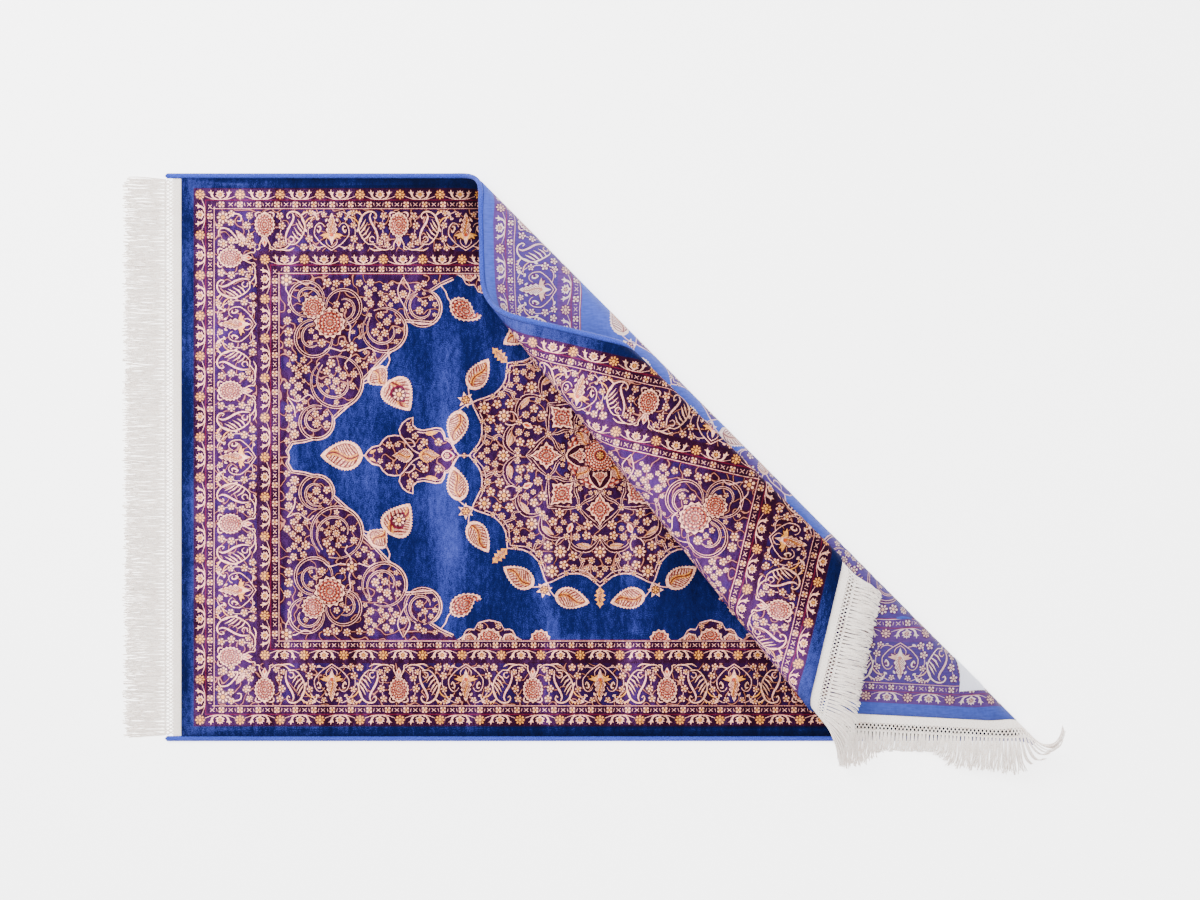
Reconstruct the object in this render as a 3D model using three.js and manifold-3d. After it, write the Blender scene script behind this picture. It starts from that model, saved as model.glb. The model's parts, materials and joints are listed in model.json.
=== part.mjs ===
// A pile rug, 1.5 m by 1 m, lying on a floor with one corner folded over along a
// diagonal, folded back on itself, and its tip tucked into the roll that this makes.
// Units are millimetres. +X runs along the rug, +Y across it and +Z up.

import * as THREE from "three";
import Module from "manifold-3d";

const wasm = await Module();
wasm.setup();

// Driving dimensions
const GAP = 0.4;
const RUG = { length: 1500, width: 1000, thickness: 8, rounding: 2 };
const SELVEDGE = { width: 8, pastPile: 29, sides: 8 };
const HEADING = { width: 30, thickness: 2.6 };
const LOCK = { count: 150, length: 75, uneven: 3, width: 4, thickness: 2.2, rooted: 1.5, wave: 1.1, lift: 2 };
const LOCK_STEPS = { flatEnd: 3, foldedEnd: 4 };
const UNEVENNESS = { lengths: 2.4, waves: 0.9, steps: 1.7 };
const ON_CREASE = 0.01;
const LABEL = { right: 699, top: -341, length: 60, width: 50, thickness: 0.6 };

// The folds in the order in which they leave the flat part. Each bends the sheet
// round a straight line. Across is the way in which the cloth runs into it, in
// degrees from +X in the flat rug, offset is how far the middle of the bend lies
// from the rug's centre that way, and turn is the angle bent. Side is 1 where the
// fold closes over the pile and -1 where it closes over the back.
const FOLDS = [
  { across: 44.8, offset: 210.5, radius: 27, turn: 194, side: 1, steps: 16 },
  { across: 51.5, offset: 415, radius: 40.3, turn: 194, side: -1, steps: 16 },
  { across: 58.4, offset: 594, radius: 17, turn: 170, side: -1, steps: 12 },
  { across: 58.4, offset: 766, radius: 15, turn: 170, side: -1, steps: 12 },
];

// Which way the tips of the folded end's fringe point, by their place across the
// rug: they fall from the raised edge to what lies below it, fan out at the outer
// fold and curl under in front of the flat part's edge.
const HANGS = [
  { v: -500, x: 0.1, y: 0.9, z: -0.35 },
  { v: -465, x: 0.6, y: 0.45, z: -0.65 },
  { v: -435, x: 0.15, y: -0.8, z: -0.6 },
  { v: -345, x: -0.1, y: -0.75, z: -0.7 },
  { v: -310, x: 0, y: 0.15, z: -1 },
  { v: -215, x: 0, y: 0.15, z: -1 },
  { v: -165, x: 0.1, y: -0.85, z: -0.6 },
  { v: -66, x: 0.15, y: -0.85, z: -0.8 },
  { v: -20, x: 0.5, y: -0.6, z: -0.8 },
  { v: 21, x: 0.75, y: -0.25, z: -0.9 },
  { v: 150, x: 0.5, y: -0.25, z: -0.9 },
  { v: 206, x: 0.2, y: -0.45, z: -0.9 },
  { v: 235, x: 0.1, y: -0.8, z: -0.5 },
  { v: 265, x: 0.2, y: -0.95, z: -0.25 },
  { v: 400, x: 0.3, y: -0.9, z: -0.05 },
  { v: 440, x: 0.85, y: -0.4, z: 0.05 },
  { v: 500, x: 0.95, y: -0.25, z: 0.02 },
];

const halfLength = RUG.length / 2;
const halfWidth = RUG.width / 2;
const halfThickness = RUG.thickness / 2;
const fringeEdge = halfLength + HEADING.width;

const bends = FOLDS.map(({ across, turn, ...fold }) => {
  const angle = THREE.MathUtils.degToRad(across);
  const bent = THREE.MathUtils.degToRad(turn);
  return {
    ...fold,
    turn: bent,
    half: (fold.radius * bent) / 2,
    across: new THREE.Vector2(Math.cos(angle), Math.sin(angle)),
    along: new THREE.Vector2(-Math.sin(angle), Math.cos(angle)),
  };
});

/** Turns a point round one bend, by how far its place in the flat rug runs into it. */
function bendPoint(point, flat, { across, along, offset, radius, turn, half, side }) {
  const run = flat.dot(across) - offset;
  if (run <= -half) return;
  const place = new THREE.Vector2(point.x, point.y);
  const beside = place.dot(along);
  const turned = Math.min((run + half) / radius, turn);
  const past = run > half ? place.dot(across) - offset - half : 0;
  const arm = radius - side * point.z;
  const reach = offset - half + arm * Math.sin(turned) + past * Math.cos(turned);
  point.z = side * (radius - arm * Math.cos(turned) + past * Math.sin(turned));
  place.copy(across).multiplyScalar(reach).addScaledVector(along, beside);
  point.setX(place.x).setY(place.y);
}

/** Where a point of the flat rug, height above its middle surface, lies once folded. */
function folded(u, v, height) {
  const flat = new THREE.Vector2(u, v);
  const point = new THREE.Vector3(u, v, height);
  for (const bend of bends.toReversed()) bendPoint(point, flat, bend);
  point.z += halfThickness;
  return point;
}

/** A closed solid of flat faces between rings of points, each ring seen anticlockwise. */
function stacked(rings) {
  const count = rings[0].length;
  const around = Array.from({ length: count }, (_, i) => i);
  const sides = rings.slice(1).flatMap((_, level) => around.map((i) => {
    const [a, b] = [level * count + i, level * count + ((i + 1) % count)];
    return [a, b, b + count, a + count];
  }));
  const last = around.map((i) => (rings.length - 1) * count + i);
  return { points: rings.flat(), faces: [around.toReversed(), ...sides, last] };
}

/** Splits the faces that cross the upright plane at a run across the flat rug. */
function splitAlong({ points, faces }, across, run) {
  const away = points.map((point) => {
    const distance = across.x * point.x + across.y * point.y - run;
    return Math.abs(distance) < ON_CREASE ? 0 : distance;
  });
  const crossings = new Map();
  const crossing = (a, b) => {
    const [low, high] = a < b ? [a, b] : [b, a];
    const key = `${low} ${high}`;
    if (!crossings.has(key)) {
      const share = away[low] / (away[low] - away[high]);
      crossings.set(key, points.push(points[low].clone().lerp(points[high], share)) - 1);
    }
    return crossings.get(key);
  };
  return faces.flatMap((corners) => {
    const signs = corners.map((corner) => Math.sign(away[corner]));
    if (!signs.includes(1) || !signs.includes(-1)) return [corners];
    const [before, beyond] = [[], []];
    corners.forEach((corner, i) => {
      const next = corners[(i + 1) % corners.length];
      if (signs[i] <= 0) before.push(corner);
      if (signs[i] >= 0) beyond.push(corner);
      if (away[corner] * away[next] >= 0) return;
      const shared = crossing(corner, next);
      before.push(shared);
      beyond.push(shared);
    });
    return [before, beyond];
  });
}

/** Makes a geometry of points and the convex faces between them. */
function fromFaces(points, faces) {
  const geometry = new THREE.BufferGeometry().setFromPoints(points);
  geometry.setIndex(faces.flatMap((corners) =>
    corners.slice(2).flatMap((corner, i) => [corners[0], corners[i + 1], corner])));
  return geometry;
}

/** Folds a closed solid that is made in the flat rug's place. */
function foldedSolid({ points, faces }) {
  let creased = faces;
  for (const { across, offset, half, steps } of bends) {
    for (let step = 0; step <= steps; step += 1) {
      const run = offset - half + (2 * half * step) / steps;
      creased = splitAlong({ points, faces: creased }, across, run);
    }
  }
  return fromFaces(points.map(({ x, y, z }) => folded(x, y, z)), creased);
}

/** The corners of a rectangle of the flat rug at a height over its middle surface. */
function rectangle([left, right], [bottom, top], height) {
  return [[left, bottom], [right, bottom], [right, top], [left, top]]
    .map(([u, v]) => new THREE.Vector3(u, v, height));
}

/** The pile and its foundation, woven in one, with the pile's rim rounded off. */
function carpetGeometry() {
  const level = (height, inset) => {
    const [u, v] = [halfLength - inset, halfWidth - GAP - inset];
    return rectangle([-u, u], [-v, v], height);
  };
  return foldedSolid(stacked([
    level(-halfThickness, 0),
    level(halfThickness - RUG.rounding, 0),
    level(halfThickness, RUG.rounding),
  ]));
}

/** The corded edge along one side, which runs on past the pile over the heading. */
function selvedgeGeometry(side) {
  const { width, pastPile, sides } = SELVEDGE;
  const out = 0.5 / Math.cos(Math.PI / sides);
  const ring = (u) => Array.from({ length: sides }, (_, i) => {
    const angle = (2 * Math.PI * (i + 0.5)) / sides;
    const v = side * (halfWidth + width / 2) + out * width * Math.cos(angle);
    return new THREE.Vector3(u, v, out * RUG.thickness * Math.sin(angle));
  });
  const end = halfLength + pastPile;
  return foldedSolid(stacked([ring(-end), ring(end)]));
}

/** The plain band and knotted net at one end, which the fringe hangs from. */
function headingGeometry(end) {
  const reach = [end * (halfLength + GAP), end * fringeEdge].sort((a, b) => a - b);
  const v = halfWidth - GAP;
  const level = (height) => rectangle(reach, [-v, v], height - halfThickness);
  return foldedSolid(stacked([level(0), level(HEADING.thickness)]));
}

/** The height of what a strand at a point can lie on: floor, flat part or folded-over layer. */
function restHeight({ x, y }, from) {
  const [outer, inner] = bends;
  const place = new THREE.Vector2(x, y);
  const start = outer.offset - outer.half + outer.radius * Math.sin(outer.turn);
  const past = (place.dot(outer.across) - start) / Math.cos(outer.turn);
  const flat = outer.across.clone().multiplyScalar(outer.offset + outer.half + past);
  flat.addScaledVector(outer.along, place.dot(outer.along));
  const top = outer.radius * (1 - Math.cos(outer.turn)) + RUG.thickness;
  const layer = top + Math.max(past, 0) * Math.sin(outer.turn);
  const onLayer = past > -outer.radius && flat.dot(inner.across) < inner.offset - inner.half &&
    flat.x < fringeEdge && flat.y < halfWidth && from > layer;
  if (onLayer) return layer + LOCK.lift;
  const onFlat = Math.abs(x) < halfLength && Math.abs(y) < halfWidth + SELVEDGE.width &&
    place.dot(outer.across) < outer.offset - outer.half;
  return onFlat ? RUG.thickness + LOCK.lift : 0;
}

/** The tip's direction of a strand at a place across the folded end. */
function hangAt(v) {
  const next = Math.max(HANGS.findIndex((row) => row.v > v), 1);
  const [from, to] = [HANGS[next - 1], HANGS[next]];
  const share = (v - from.v) / (to.v - from.v);
  return new THREE.Vector3(from.x, from.y, from.z).lerp(new THREE.Vector3(to.x, to.y, to.z), share);
}

/** A three-sided strand along a path, flat side down where the rug lies flat, none of it under the floor. */
function strandGeometry(path, sideways) {
  const corners = [[-0.5, -0.5], [0.5, -0.5], [0, 0.5]];
  const aside = sideways.clone();
  const rings = path.map((place, i) => {
    const [behind, before] = [path[Math.max(i - 1, 0)], path[Math.min(i + 1, path.length - 1)]];
    const ahead = before.clone().sub(behind).normalize();
    aside.addScaledVector(ahead, -aside.dot(ahead)).normalize();
    const upward = ahead.clone().cross(aside);
    const ring = corners.map(([s, t]) => place.clone()
      .addScaledVector(aside, s * LOCK.width)
      .addScaledVector(upward, t * LOCK.thickness));
    const sunk = Math.min(0, ...ring.map((point) => point.z));
    return ring.map((point) => point.setZ(point.z - sunk));
  });
  const { points, faces } = stacked(rings);
  return fromFaces(points, faces);
}

/** One lock of the fringe: out from the heading, then down to what it can lie on. */
function lockGeometry(end, number) {
  const { count, length, uneven, thickness, rooted, wave } = LOCK;
  const steps = end > 0 ? LOCK_STEPS.foldedEnd : LOCK_STEPS.flatEnd;
  const v = (RUG.width * (number + 0.5)) / count - halfWidth;
  const height = HEADING.thickness / 2 - halfThickness;
  const root = folded(end * (fringeEdge - rooted), v, height);
  const outward = folded(end * (fringeEdge + 1), v, height).sub(folded(end * fringeEdge, v, height));
  const sideways = folded(end * fringeEdge, v + end, height).sub(folded(end * fringeEdge, v, height));
  const tip = end > 0 ? hangAt(v).normalize() : outward.clone();
  const whole = length + uneven * Math.sin(UNEVENNESS.lengths * number);
  const path = [root];
  for (let step = 0; step < steps; step += 1) {
    const ahead = outward.clone().lerp(tip, (step + 0.5) / steps).normalize();
    const next = path.at(-1).clone().addScaledVector(ahead, (whole + rooted) / steps);
    const swing = step > 0 ? Math.sin(UNEVENNESS.steps * step + UNEVENNESS.waves * number) : 0;
    next.addScaledVector(sideways, wave * swing);
    const lowest = restHeight(next, path.at(-1).z) + thickness / 2;
    next.z = end > 0 ? Math.max(next.z, lowest) : lowest;
    path.push(next);
  }
  return strandGeometry(path, sideways);
}

/** Makes a boolean solid of a closed geometry. */
function toManifold(geometry) {
  return new wasm.Manifold(new wasm.Mesh({
    numProp: 3,
    vertProperties: Float32Array.from(geometry.getAttribute("position").array),
    triVerts: Uint32Array.from(geometry.index.array),
  }));
}

/** A geometry of a boolean solid's faces. */
function fromManifold(solid) {
  const { vertProperties, triVerts } = solid.getMesh();
  const geometry = new THREE.BufferGeometry();
  geometry.setAttribute("position", new THREE.BufferAttribute(vertProperties, 3));
  geometry.setIndex(new THREE.BufferAttribute(triVerts, 1));
  return geometry;
}

/** The heading at one end with its locks fused to it. */
function fringeGeometry(end) {
  let fringe = toManifold(headingGeometry(end));
  for (let number = 0; number < LOCK.count; number += 1) {
    fringe = fringe.add(toManifold(lockGeometry(end, number)));
  }
  return fromManifold(fringe);
}

/** The blank label sewn flat on the back, which the outer fold carries round. */
function labelGeometry() {
  const { right, top, length, width, thickness } = LABEL;
  const level = (height) => rectangle([right - length, right], [top - width, top], height);
  const under = -halfThickness - GAP;
  return foldedSolid(stacked([level(under - thickness), level(under)]));
}

/** A named mesh of a geometry in its own plain material. */
function piece(name, geometry, color, roughness) {
  geometry.computeVertexNormals();
  const mesh = new THREE.Mesh(geometry, new THREE.MeshStandardMaterial({ color, roughness, metalness: 0 }));
  mesh.name = name;
  return mesh;
}

const rug = new THREE.Group();
rug.add(
  piece("carpet", carpetGeometry(), 0x27277a, 0.85),
  piece("selvedge_top", selvedgeGeometry(1), 0x2f44b0, 0.8),
  piece("selvedge_bottom", selvedgeGeometry(-1), 0x2f44b0, 0.8),
  piece("fringe_left", fringeGeometry(-1), 0xefe7e2, 0.9),
  piece("fringe_right", fringeGeometry(1), 0xefe7e2, 0.9),
  piece("back_label", labelGeometry(), 0xf2f2f4, 0.7),
);

// The origin is on the floor under the middle of the whole piece
const reach = new THREE.Box3().setFromObject(rug, true);
const middle = reach.getCenter(new THREE.Vector3());
rug.position.set(-middle.x, -middle.y, -reach.min.z);

export default rug;
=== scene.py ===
"""A knotted pile rug, one corner folded over, with its pile, weave, bindings and fringes."""

import json
import logging
import math
from collections.abc import Callable, Iterator
from dataclasses import dataclass, field, replace
from enum import Enum

import bmesh
import bpy
import numpy as np
from mathutils import Vector
from mathutils.geometry import convex_hull_2d, delaunay_2d_cdt
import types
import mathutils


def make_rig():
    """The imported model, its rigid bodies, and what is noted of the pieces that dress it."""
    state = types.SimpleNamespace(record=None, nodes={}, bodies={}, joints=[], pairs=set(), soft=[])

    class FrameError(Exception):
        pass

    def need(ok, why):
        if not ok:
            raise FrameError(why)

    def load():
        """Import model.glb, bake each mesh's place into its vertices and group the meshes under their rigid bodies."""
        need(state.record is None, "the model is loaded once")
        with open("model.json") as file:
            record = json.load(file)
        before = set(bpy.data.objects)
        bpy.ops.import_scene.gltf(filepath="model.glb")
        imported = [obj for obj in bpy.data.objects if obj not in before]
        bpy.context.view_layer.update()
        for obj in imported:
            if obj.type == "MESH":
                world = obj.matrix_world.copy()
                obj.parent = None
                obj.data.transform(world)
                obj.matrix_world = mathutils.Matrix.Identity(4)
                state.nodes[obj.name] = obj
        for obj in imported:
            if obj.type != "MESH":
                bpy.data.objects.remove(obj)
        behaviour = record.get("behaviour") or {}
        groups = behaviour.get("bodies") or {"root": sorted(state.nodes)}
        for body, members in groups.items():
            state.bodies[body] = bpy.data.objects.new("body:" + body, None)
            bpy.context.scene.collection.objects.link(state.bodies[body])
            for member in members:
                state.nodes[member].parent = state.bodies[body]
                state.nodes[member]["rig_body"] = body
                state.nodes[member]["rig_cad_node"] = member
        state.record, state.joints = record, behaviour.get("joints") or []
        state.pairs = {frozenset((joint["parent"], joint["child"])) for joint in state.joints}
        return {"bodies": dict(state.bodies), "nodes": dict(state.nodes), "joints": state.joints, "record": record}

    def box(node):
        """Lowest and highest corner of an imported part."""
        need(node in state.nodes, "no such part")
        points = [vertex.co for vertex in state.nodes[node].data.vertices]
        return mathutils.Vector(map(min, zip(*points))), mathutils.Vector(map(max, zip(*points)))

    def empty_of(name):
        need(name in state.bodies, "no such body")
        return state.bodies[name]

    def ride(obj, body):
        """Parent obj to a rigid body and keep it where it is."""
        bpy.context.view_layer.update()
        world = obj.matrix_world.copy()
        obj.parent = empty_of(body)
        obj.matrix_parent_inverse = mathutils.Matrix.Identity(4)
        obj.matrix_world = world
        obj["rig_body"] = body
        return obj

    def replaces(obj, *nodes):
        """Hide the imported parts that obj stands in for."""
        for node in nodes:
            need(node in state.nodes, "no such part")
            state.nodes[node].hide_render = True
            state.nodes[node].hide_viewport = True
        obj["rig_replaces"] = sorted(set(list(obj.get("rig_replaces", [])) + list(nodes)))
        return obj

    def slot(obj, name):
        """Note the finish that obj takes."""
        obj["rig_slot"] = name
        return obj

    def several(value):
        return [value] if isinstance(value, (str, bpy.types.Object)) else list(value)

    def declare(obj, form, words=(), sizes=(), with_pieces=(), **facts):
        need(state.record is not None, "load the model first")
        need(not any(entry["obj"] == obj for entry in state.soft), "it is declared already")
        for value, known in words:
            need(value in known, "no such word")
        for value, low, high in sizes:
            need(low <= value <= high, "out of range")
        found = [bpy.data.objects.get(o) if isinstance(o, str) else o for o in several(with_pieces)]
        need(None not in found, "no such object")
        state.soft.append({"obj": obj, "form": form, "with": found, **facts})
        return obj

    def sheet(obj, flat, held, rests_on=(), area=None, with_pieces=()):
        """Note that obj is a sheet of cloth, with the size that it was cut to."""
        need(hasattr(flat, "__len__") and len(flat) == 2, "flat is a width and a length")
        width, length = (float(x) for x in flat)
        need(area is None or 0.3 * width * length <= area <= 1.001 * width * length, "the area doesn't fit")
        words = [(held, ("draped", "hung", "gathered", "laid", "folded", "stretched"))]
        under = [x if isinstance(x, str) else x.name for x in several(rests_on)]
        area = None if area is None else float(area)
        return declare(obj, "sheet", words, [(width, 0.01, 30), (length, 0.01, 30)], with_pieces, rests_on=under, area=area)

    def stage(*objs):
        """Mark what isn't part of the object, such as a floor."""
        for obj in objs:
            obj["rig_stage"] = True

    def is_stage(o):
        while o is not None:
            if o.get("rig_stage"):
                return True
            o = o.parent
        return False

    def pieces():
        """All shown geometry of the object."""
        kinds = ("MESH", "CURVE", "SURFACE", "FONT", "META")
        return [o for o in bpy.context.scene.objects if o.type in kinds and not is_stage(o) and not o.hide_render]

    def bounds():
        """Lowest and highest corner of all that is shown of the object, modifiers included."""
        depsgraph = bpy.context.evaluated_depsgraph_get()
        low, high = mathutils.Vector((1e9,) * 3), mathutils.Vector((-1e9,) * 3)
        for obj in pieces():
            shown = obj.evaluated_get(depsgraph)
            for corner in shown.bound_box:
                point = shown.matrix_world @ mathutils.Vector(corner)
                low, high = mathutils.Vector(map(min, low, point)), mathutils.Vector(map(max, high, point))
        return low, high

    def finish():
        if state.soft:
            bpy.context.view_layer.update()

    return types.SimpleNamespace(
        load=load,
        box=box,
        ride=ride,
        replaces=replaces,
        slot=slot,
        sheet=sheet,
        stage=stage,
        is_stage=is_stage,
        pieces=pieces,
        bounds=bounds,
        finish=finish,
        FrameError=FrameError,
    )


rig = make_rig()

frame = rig.load()

log = logging.getLogger("rug")

MM = 0.001
SIZE_FILE = "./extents.json"

# The rug as it comes off the loom, in millimetres. U runs along it and V across it from
# its centre, and height is measured from the middle of its thickness.
HALF_LENGTH = 750.0
HALF_WIDTH = 500.0
THICKNESS = 8.0
GAP = 0.4

Point = tuple[float, float]


def linear(hex_colour: str) -> tuple[float, float, float, float]:
    """Turns an sRGB hex colour into the linear one that Blender's sockets take.

    Args:
        hex_colour: the colour as "#rrggbb".

    Returns:
        Red, green and blue from 0 to 1, and an alpha of 1.
    """
    channels = [int(hex_colour[i:i + 2], 16) / 255 for i in (1, 3, 5)]
    curve = [c / 12.92 if c <= 0.04045 else ((c + 0.055) / 1.055) ** 2.4 for c in channels]
    return (*curve, 1.0)


class Dye(Enum):
    """The yarns of the design: their colour in the pile, on the woven back, and what they do.

    The last value is 0 for a plain ground, a tenth for a plum one whose painted sheen is violet, a quarter for one
    that small vines run over, half for a plain motif and 1 for yarns of two colours knotted in a fine scribble.
    """

    MARGIN = ("#050d38", "#3f50b0", 0.0)
    FIELD = ("#060e40", "#4152b2", 0.0)
    PLUM = ("#22031a", "#553478", 0.1)
    GROUND = ("#200428", "#48347e", 0.25)
    SHADE = ("#240210", "#50265c", 0.1)
    WINE = ("#54081e", "#6e2c58", 0.1)
    BROWN = ("#5c1208", "#7a4858", 0.5)
    COPPER = ("#b04014", "#bc7c74", 0.5)
    GOLD = ("#ee9c3c", "#dcae9c", 0.5)
    CREAM = ("#fdb696", "#ecd0cc", 0.5)
    PINK = ("#f8ae9c", "#dcb4b8", 0.5)
    LACE = ("#fdb698", "#e6c0bc", 1.0)
    RUSSET = ("#e07c3a", "#d6a294", 1.0)


class Face(Enum):
    """The two faces of the cloth, each by where a dye keeps the colour that it has there."""

    PILE = 0
    BACK = 1


# What the yarns draw within a shape: nothing, a leaf's veins, or, as any number above
# zero, a flower of that many petals. A number below the veins' is so many rows of scales.
PLAIN = 0.0
VEINS = -1.0


@dataclass(frozen=True)
class Shape:
    """One patch of a dye, as a closed outline in millimetres, and what fills it."""

    outline: np.ndarray
    dye: Dye
    fill: float = PLAIN

    def frame(self) -> tuple[np.ndarray, np.ndarray]:
        """The place that the filling starts from, and the matrix that measures from there.

        Returns:
            A leaf's stem or another shape's middle, and the ways towards the first point and
            aside, each divided by how far the shape reaches that way.
        """
        first, last = self.outline[0], self.outline[-1]
        if self.fill == VEINS:
            start = (first + last) / 2
            ahead = self.outline[len(self.outline) // 2] - start
        else:
            start = self.outline.mean(0)
            ahead = first - start
        aside = np.array([-ahead[1], ahead[0]]) / (np.linalg.norm(ahead) + 1e-9)
        reach = np.abs((self.outline - start) @ aside).max() + 1e-9
        return start, np.column_stack([ahead / (ahead @ ahead + 1e-9), aside / reach])


def polar(radius: float, degrees: float) -> np.ndarray:
    """The point at a radius and an angle, anticlockwise from +U."""
    return radius * np.array([math.cos(math.radians(degrees)), math.sin(math.radians(degrees))])


def placed(shapes: list[Shape], at: Point = (0, 0), turn: float = 0, size: float = 1,
           flip: bool = False) -> list[Shape]:
    """Copies shapes to another place.

    Args:
        shapes: what to copy.
        at: where the copy's own origin goes.
        turn: the angle that it is turned by, in degrees anticlockwise.
        size: how many times larger it is.
        flip: whether it is mirrored left to right first.

    Returns:
        The copies.
    """
    c, s = math.cos(math.radians(turn)) * size, math.sin(math.radians(turn)) * size
    matrix = np.array([[-c if flip else c, -s], [-s if flip else s, c]])
    return [replace(shape, outline=shape.outline @ matrix.T + np.array(at)) for shape in shapes]


def smooth(points: list[Point], steps: int = 3, closed: bool = False) -> np.ndarray:
    """A smooth line through a few points.

    Args:
        points: the points that it passes.
        steps: how many pieces each stretch between two of them gets.
        closed: whether the line comes back to its start.

    Returns:
        The points of the finer line.
    """
    p = np.array(points, float)
    if closed:
        p = np.vstack([p[-1], p, p[0], p[1]])
    else:
        p = np.vstack([2 * p[0] - p[1], p, 2 * p[-1] - p[-2]])
    line = []
    for a, b, c, d in zip(p, p[1:], p[2:], p[3:]):
        for step in range(steps):
            t = step / steps
            line.append(0.5 * (2 * b + (c - a) * t + (2 * a - 5 * b + 4 * c - d) * t * t
                               + (3 * b - a - 3 * c + d) * t ** 3))
    return np.array(line if closed else [*line, p[-2]])


def stroke(line: np.ndarray, width: float, start: float = 1.0, end: float = 1.0) -> np.ndarray:
    """The outline of a brush stroke.

    Args:
        line: the points that it follows.
        width: its width in the middle.
        start: its width at the start, as a share of that.
        end: its width at the end, as a share of that.

    Returns:
        The outline's points.
    """
    ahead = np.gradient(line, axis=0)
    ahead /= np.linalg.norm(ahead, axis=1)[:, None] + 1e-9
    aside = np.stack([-ahead[:, 1], ahead[:, 0]], 1)
    t = np.linspace(0, 1, len(line))
    swell = np.sin(math.pi * t) ** 0.5
    share = np.maximum(swell, start * (1 - t) + end * t)
    half = (width / 2 * share)[:, None]
    return np.vstack([line + aside * half, (line - aside * half)[::-1]])


def vine(points: list[Point], width: float, dye: Dye = Dye.PINK, start: float = 1.0, end: float = 1.0,
         steps: int = 2) -> Shape:
    """A brush stroke of one dye through a few points."""
    return Shape(stroke(smooth(points, steps), width, start, end), dye)


def ring(radius: float, count: int, depth: float = 0.0, turn: float = 0.0,
         squash: float = 1.0) -> np.ndarray:
    """A circle, oval or star.

    Args:
        radius: its radius to the tips.
        count: how many points it has.
        depth: how far every other point is drawn in, as a share of the radius.
        turn: the angle of the first point, in degrees.
        squash: its height as a share of its width.

    Returns:
        The outline's points.
    """
    angles = np.radians(turn) + np.arange(count) * 2 * math.pi / count
    reach = radius * (1 - depth * (np.arange(count) % 2))
    return np.stack([reach * np.cos(angles), squash * reach * np.sin(angles)], 1)


def rosette(radius: float, petals: int = 6, dye: Dye = Dye.CREAM) -> list[Shape]:
    """A small flower seen from the front, on a dark ground."""
    return [Shape(ring(radius * 1.18 + 0.5, 8 if radius < 9 else 12, 0, 90), dye, petals)]


def flowers(spots: list[tuple[float, float, float]], turn: float) -> list[Shape]:
    """Flowers of five petals at places given as U, V and radius, turned by their place."""
    return [s for u, v, radius in spots for s in placed(rosette(radius, 5), (u, v), turn * u)]


def twin(points: list[Point], width: float, steps: int = 3) -> list[Shape]:
    """Two fine lines that part and meet again, with a dark outline.

    Args:
        points: the points that they pass between.
        width: how far apart they are in the middle, over all.
        steps: how many pieces each stretch between two points gets.

    Returns:
        The dark, the lines as one stroke, and the dark between them.
    """
    line = smooth(points, steps)
    layers = ((2.6, 0.5, Dye.SHADE), (0, 0.3, Dye.PINK), (-2.1, 0.0, Dye.SHADE))
    return [Shape(stroke(line, width + more, ends, ends), dye) for more, ends, dye in layers]


def outlined(shapes: list[Shape], by: float = 1.6) -> list[Shape]:
    """Shapes over their own dark outlines.

    Args:
        shapes: the shapes.
        by: how far the dark reaches past them.

    Returns:
        The outlines of those that are no ground, and then the shapes.
    """
    dark = []
    for shape in shapes:
        if shape.dye.value[2] < 0.5:
            continue
        hull = shape.outline[convex_hull_2d([Vector(p) for p in shape.outline])]
        compact = abs(area(hull)) < 1.8 * abs(area(shape.outline))
        dark.append(Shape(inset(hull if compact else shape.outline, -by), Dye.SHADE))
    return dark + shapes


def area(outline: np.ndarray) -> float:
    """The area that an outline encloses, above zero where it runs anticlockwise."""
    after = np.roll(outline, -1, axis=0)
    return float(np.sum(outline[:, 0] * after[:, 1] - outline[:, 1] * after[:, 0]) / 2)


def inset(outline: np.ndarray, by: float) -> np.ndarray:
    """An outline drawn in evenly.

    Args:
        outline: its points, in either direction.
        by: how far each goes in.

    Returns:
        The inner outline.
    """
    ahead = np.roll(outline, -1, axis=0) - np.roll(outline, 1, axis=0)
    ahead /= np.linalg.norm(ahead, axis=1)[:, None] + 1e-9
    inward = np.stack([-ahead[:, 1], ahead[:, 0]], 1) * (1 if area(outline) > 0 else -1)
    return outline + inward * by


def almond(length: float, width: float, teeth: int, depth: float = 0, blunt: float = 0.75) -> np.ndarray:
    """A leaf's toothed outline, from its stem at the origin to its tip on +V.

    Args:
        length: from stem to tip.
        width: the greatest width.
        teeth: how many teeth each side has.
        depth: how deep they are cut, in the same unit as the sizes.
        blunt: under 1 puts the widest place nearer the stem.

    Returns:
        The outline's points.
    """
    t = np.linspace(0, 1, 2 * teeth + 1)
    half = width / 2 * np.sin(math.pi * t ** blunt) ** 0.8
    cut = depth * (np.arange(len(t)) % 2) * np.sin(math.pi * t)
    side = np.maximum(half - cut, 0.25)
    right = np.stack([side, length * t], 1)
    left = np.stack([-side, length * t], 1)[::-1]
    return np.vstack([right[:-1], [[0, length]], left[1:]])


def scaled(outline: np.ndarray, share: float, about: Point) -> np.ndarray:
    """An outline drawn in towards a point."""
    return (outline - np.array(about)) * share + np.array(about)


def even(*points: Point) -> np.ndarray:
    """An outline that is the same on both sides, from its right half, tip to foot."""
    half = np.array(points, float)
    return np.vstack([half, half[-2:0:-1] * (-1, 1)])


def mirrored(shapes: list[Shape]) -> list[Shape]:
    """Shapes, and their images left to right."""
    return shapes + placed(shapes, flip=True)


def upended(shapes: list[Shape]) -> list[Shape]:
    """The images of shapes, top to bottom."""
    return placed(placed(shapes, flip=True), turn=180)


def in_all_quarters(shapes: list[Shape]) -> list[Shape]:
    """Shapes of the upper left quarter, and their mirror images in the others."""
    half = mirrored(shapes)
    return half + upended(half)


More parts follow.
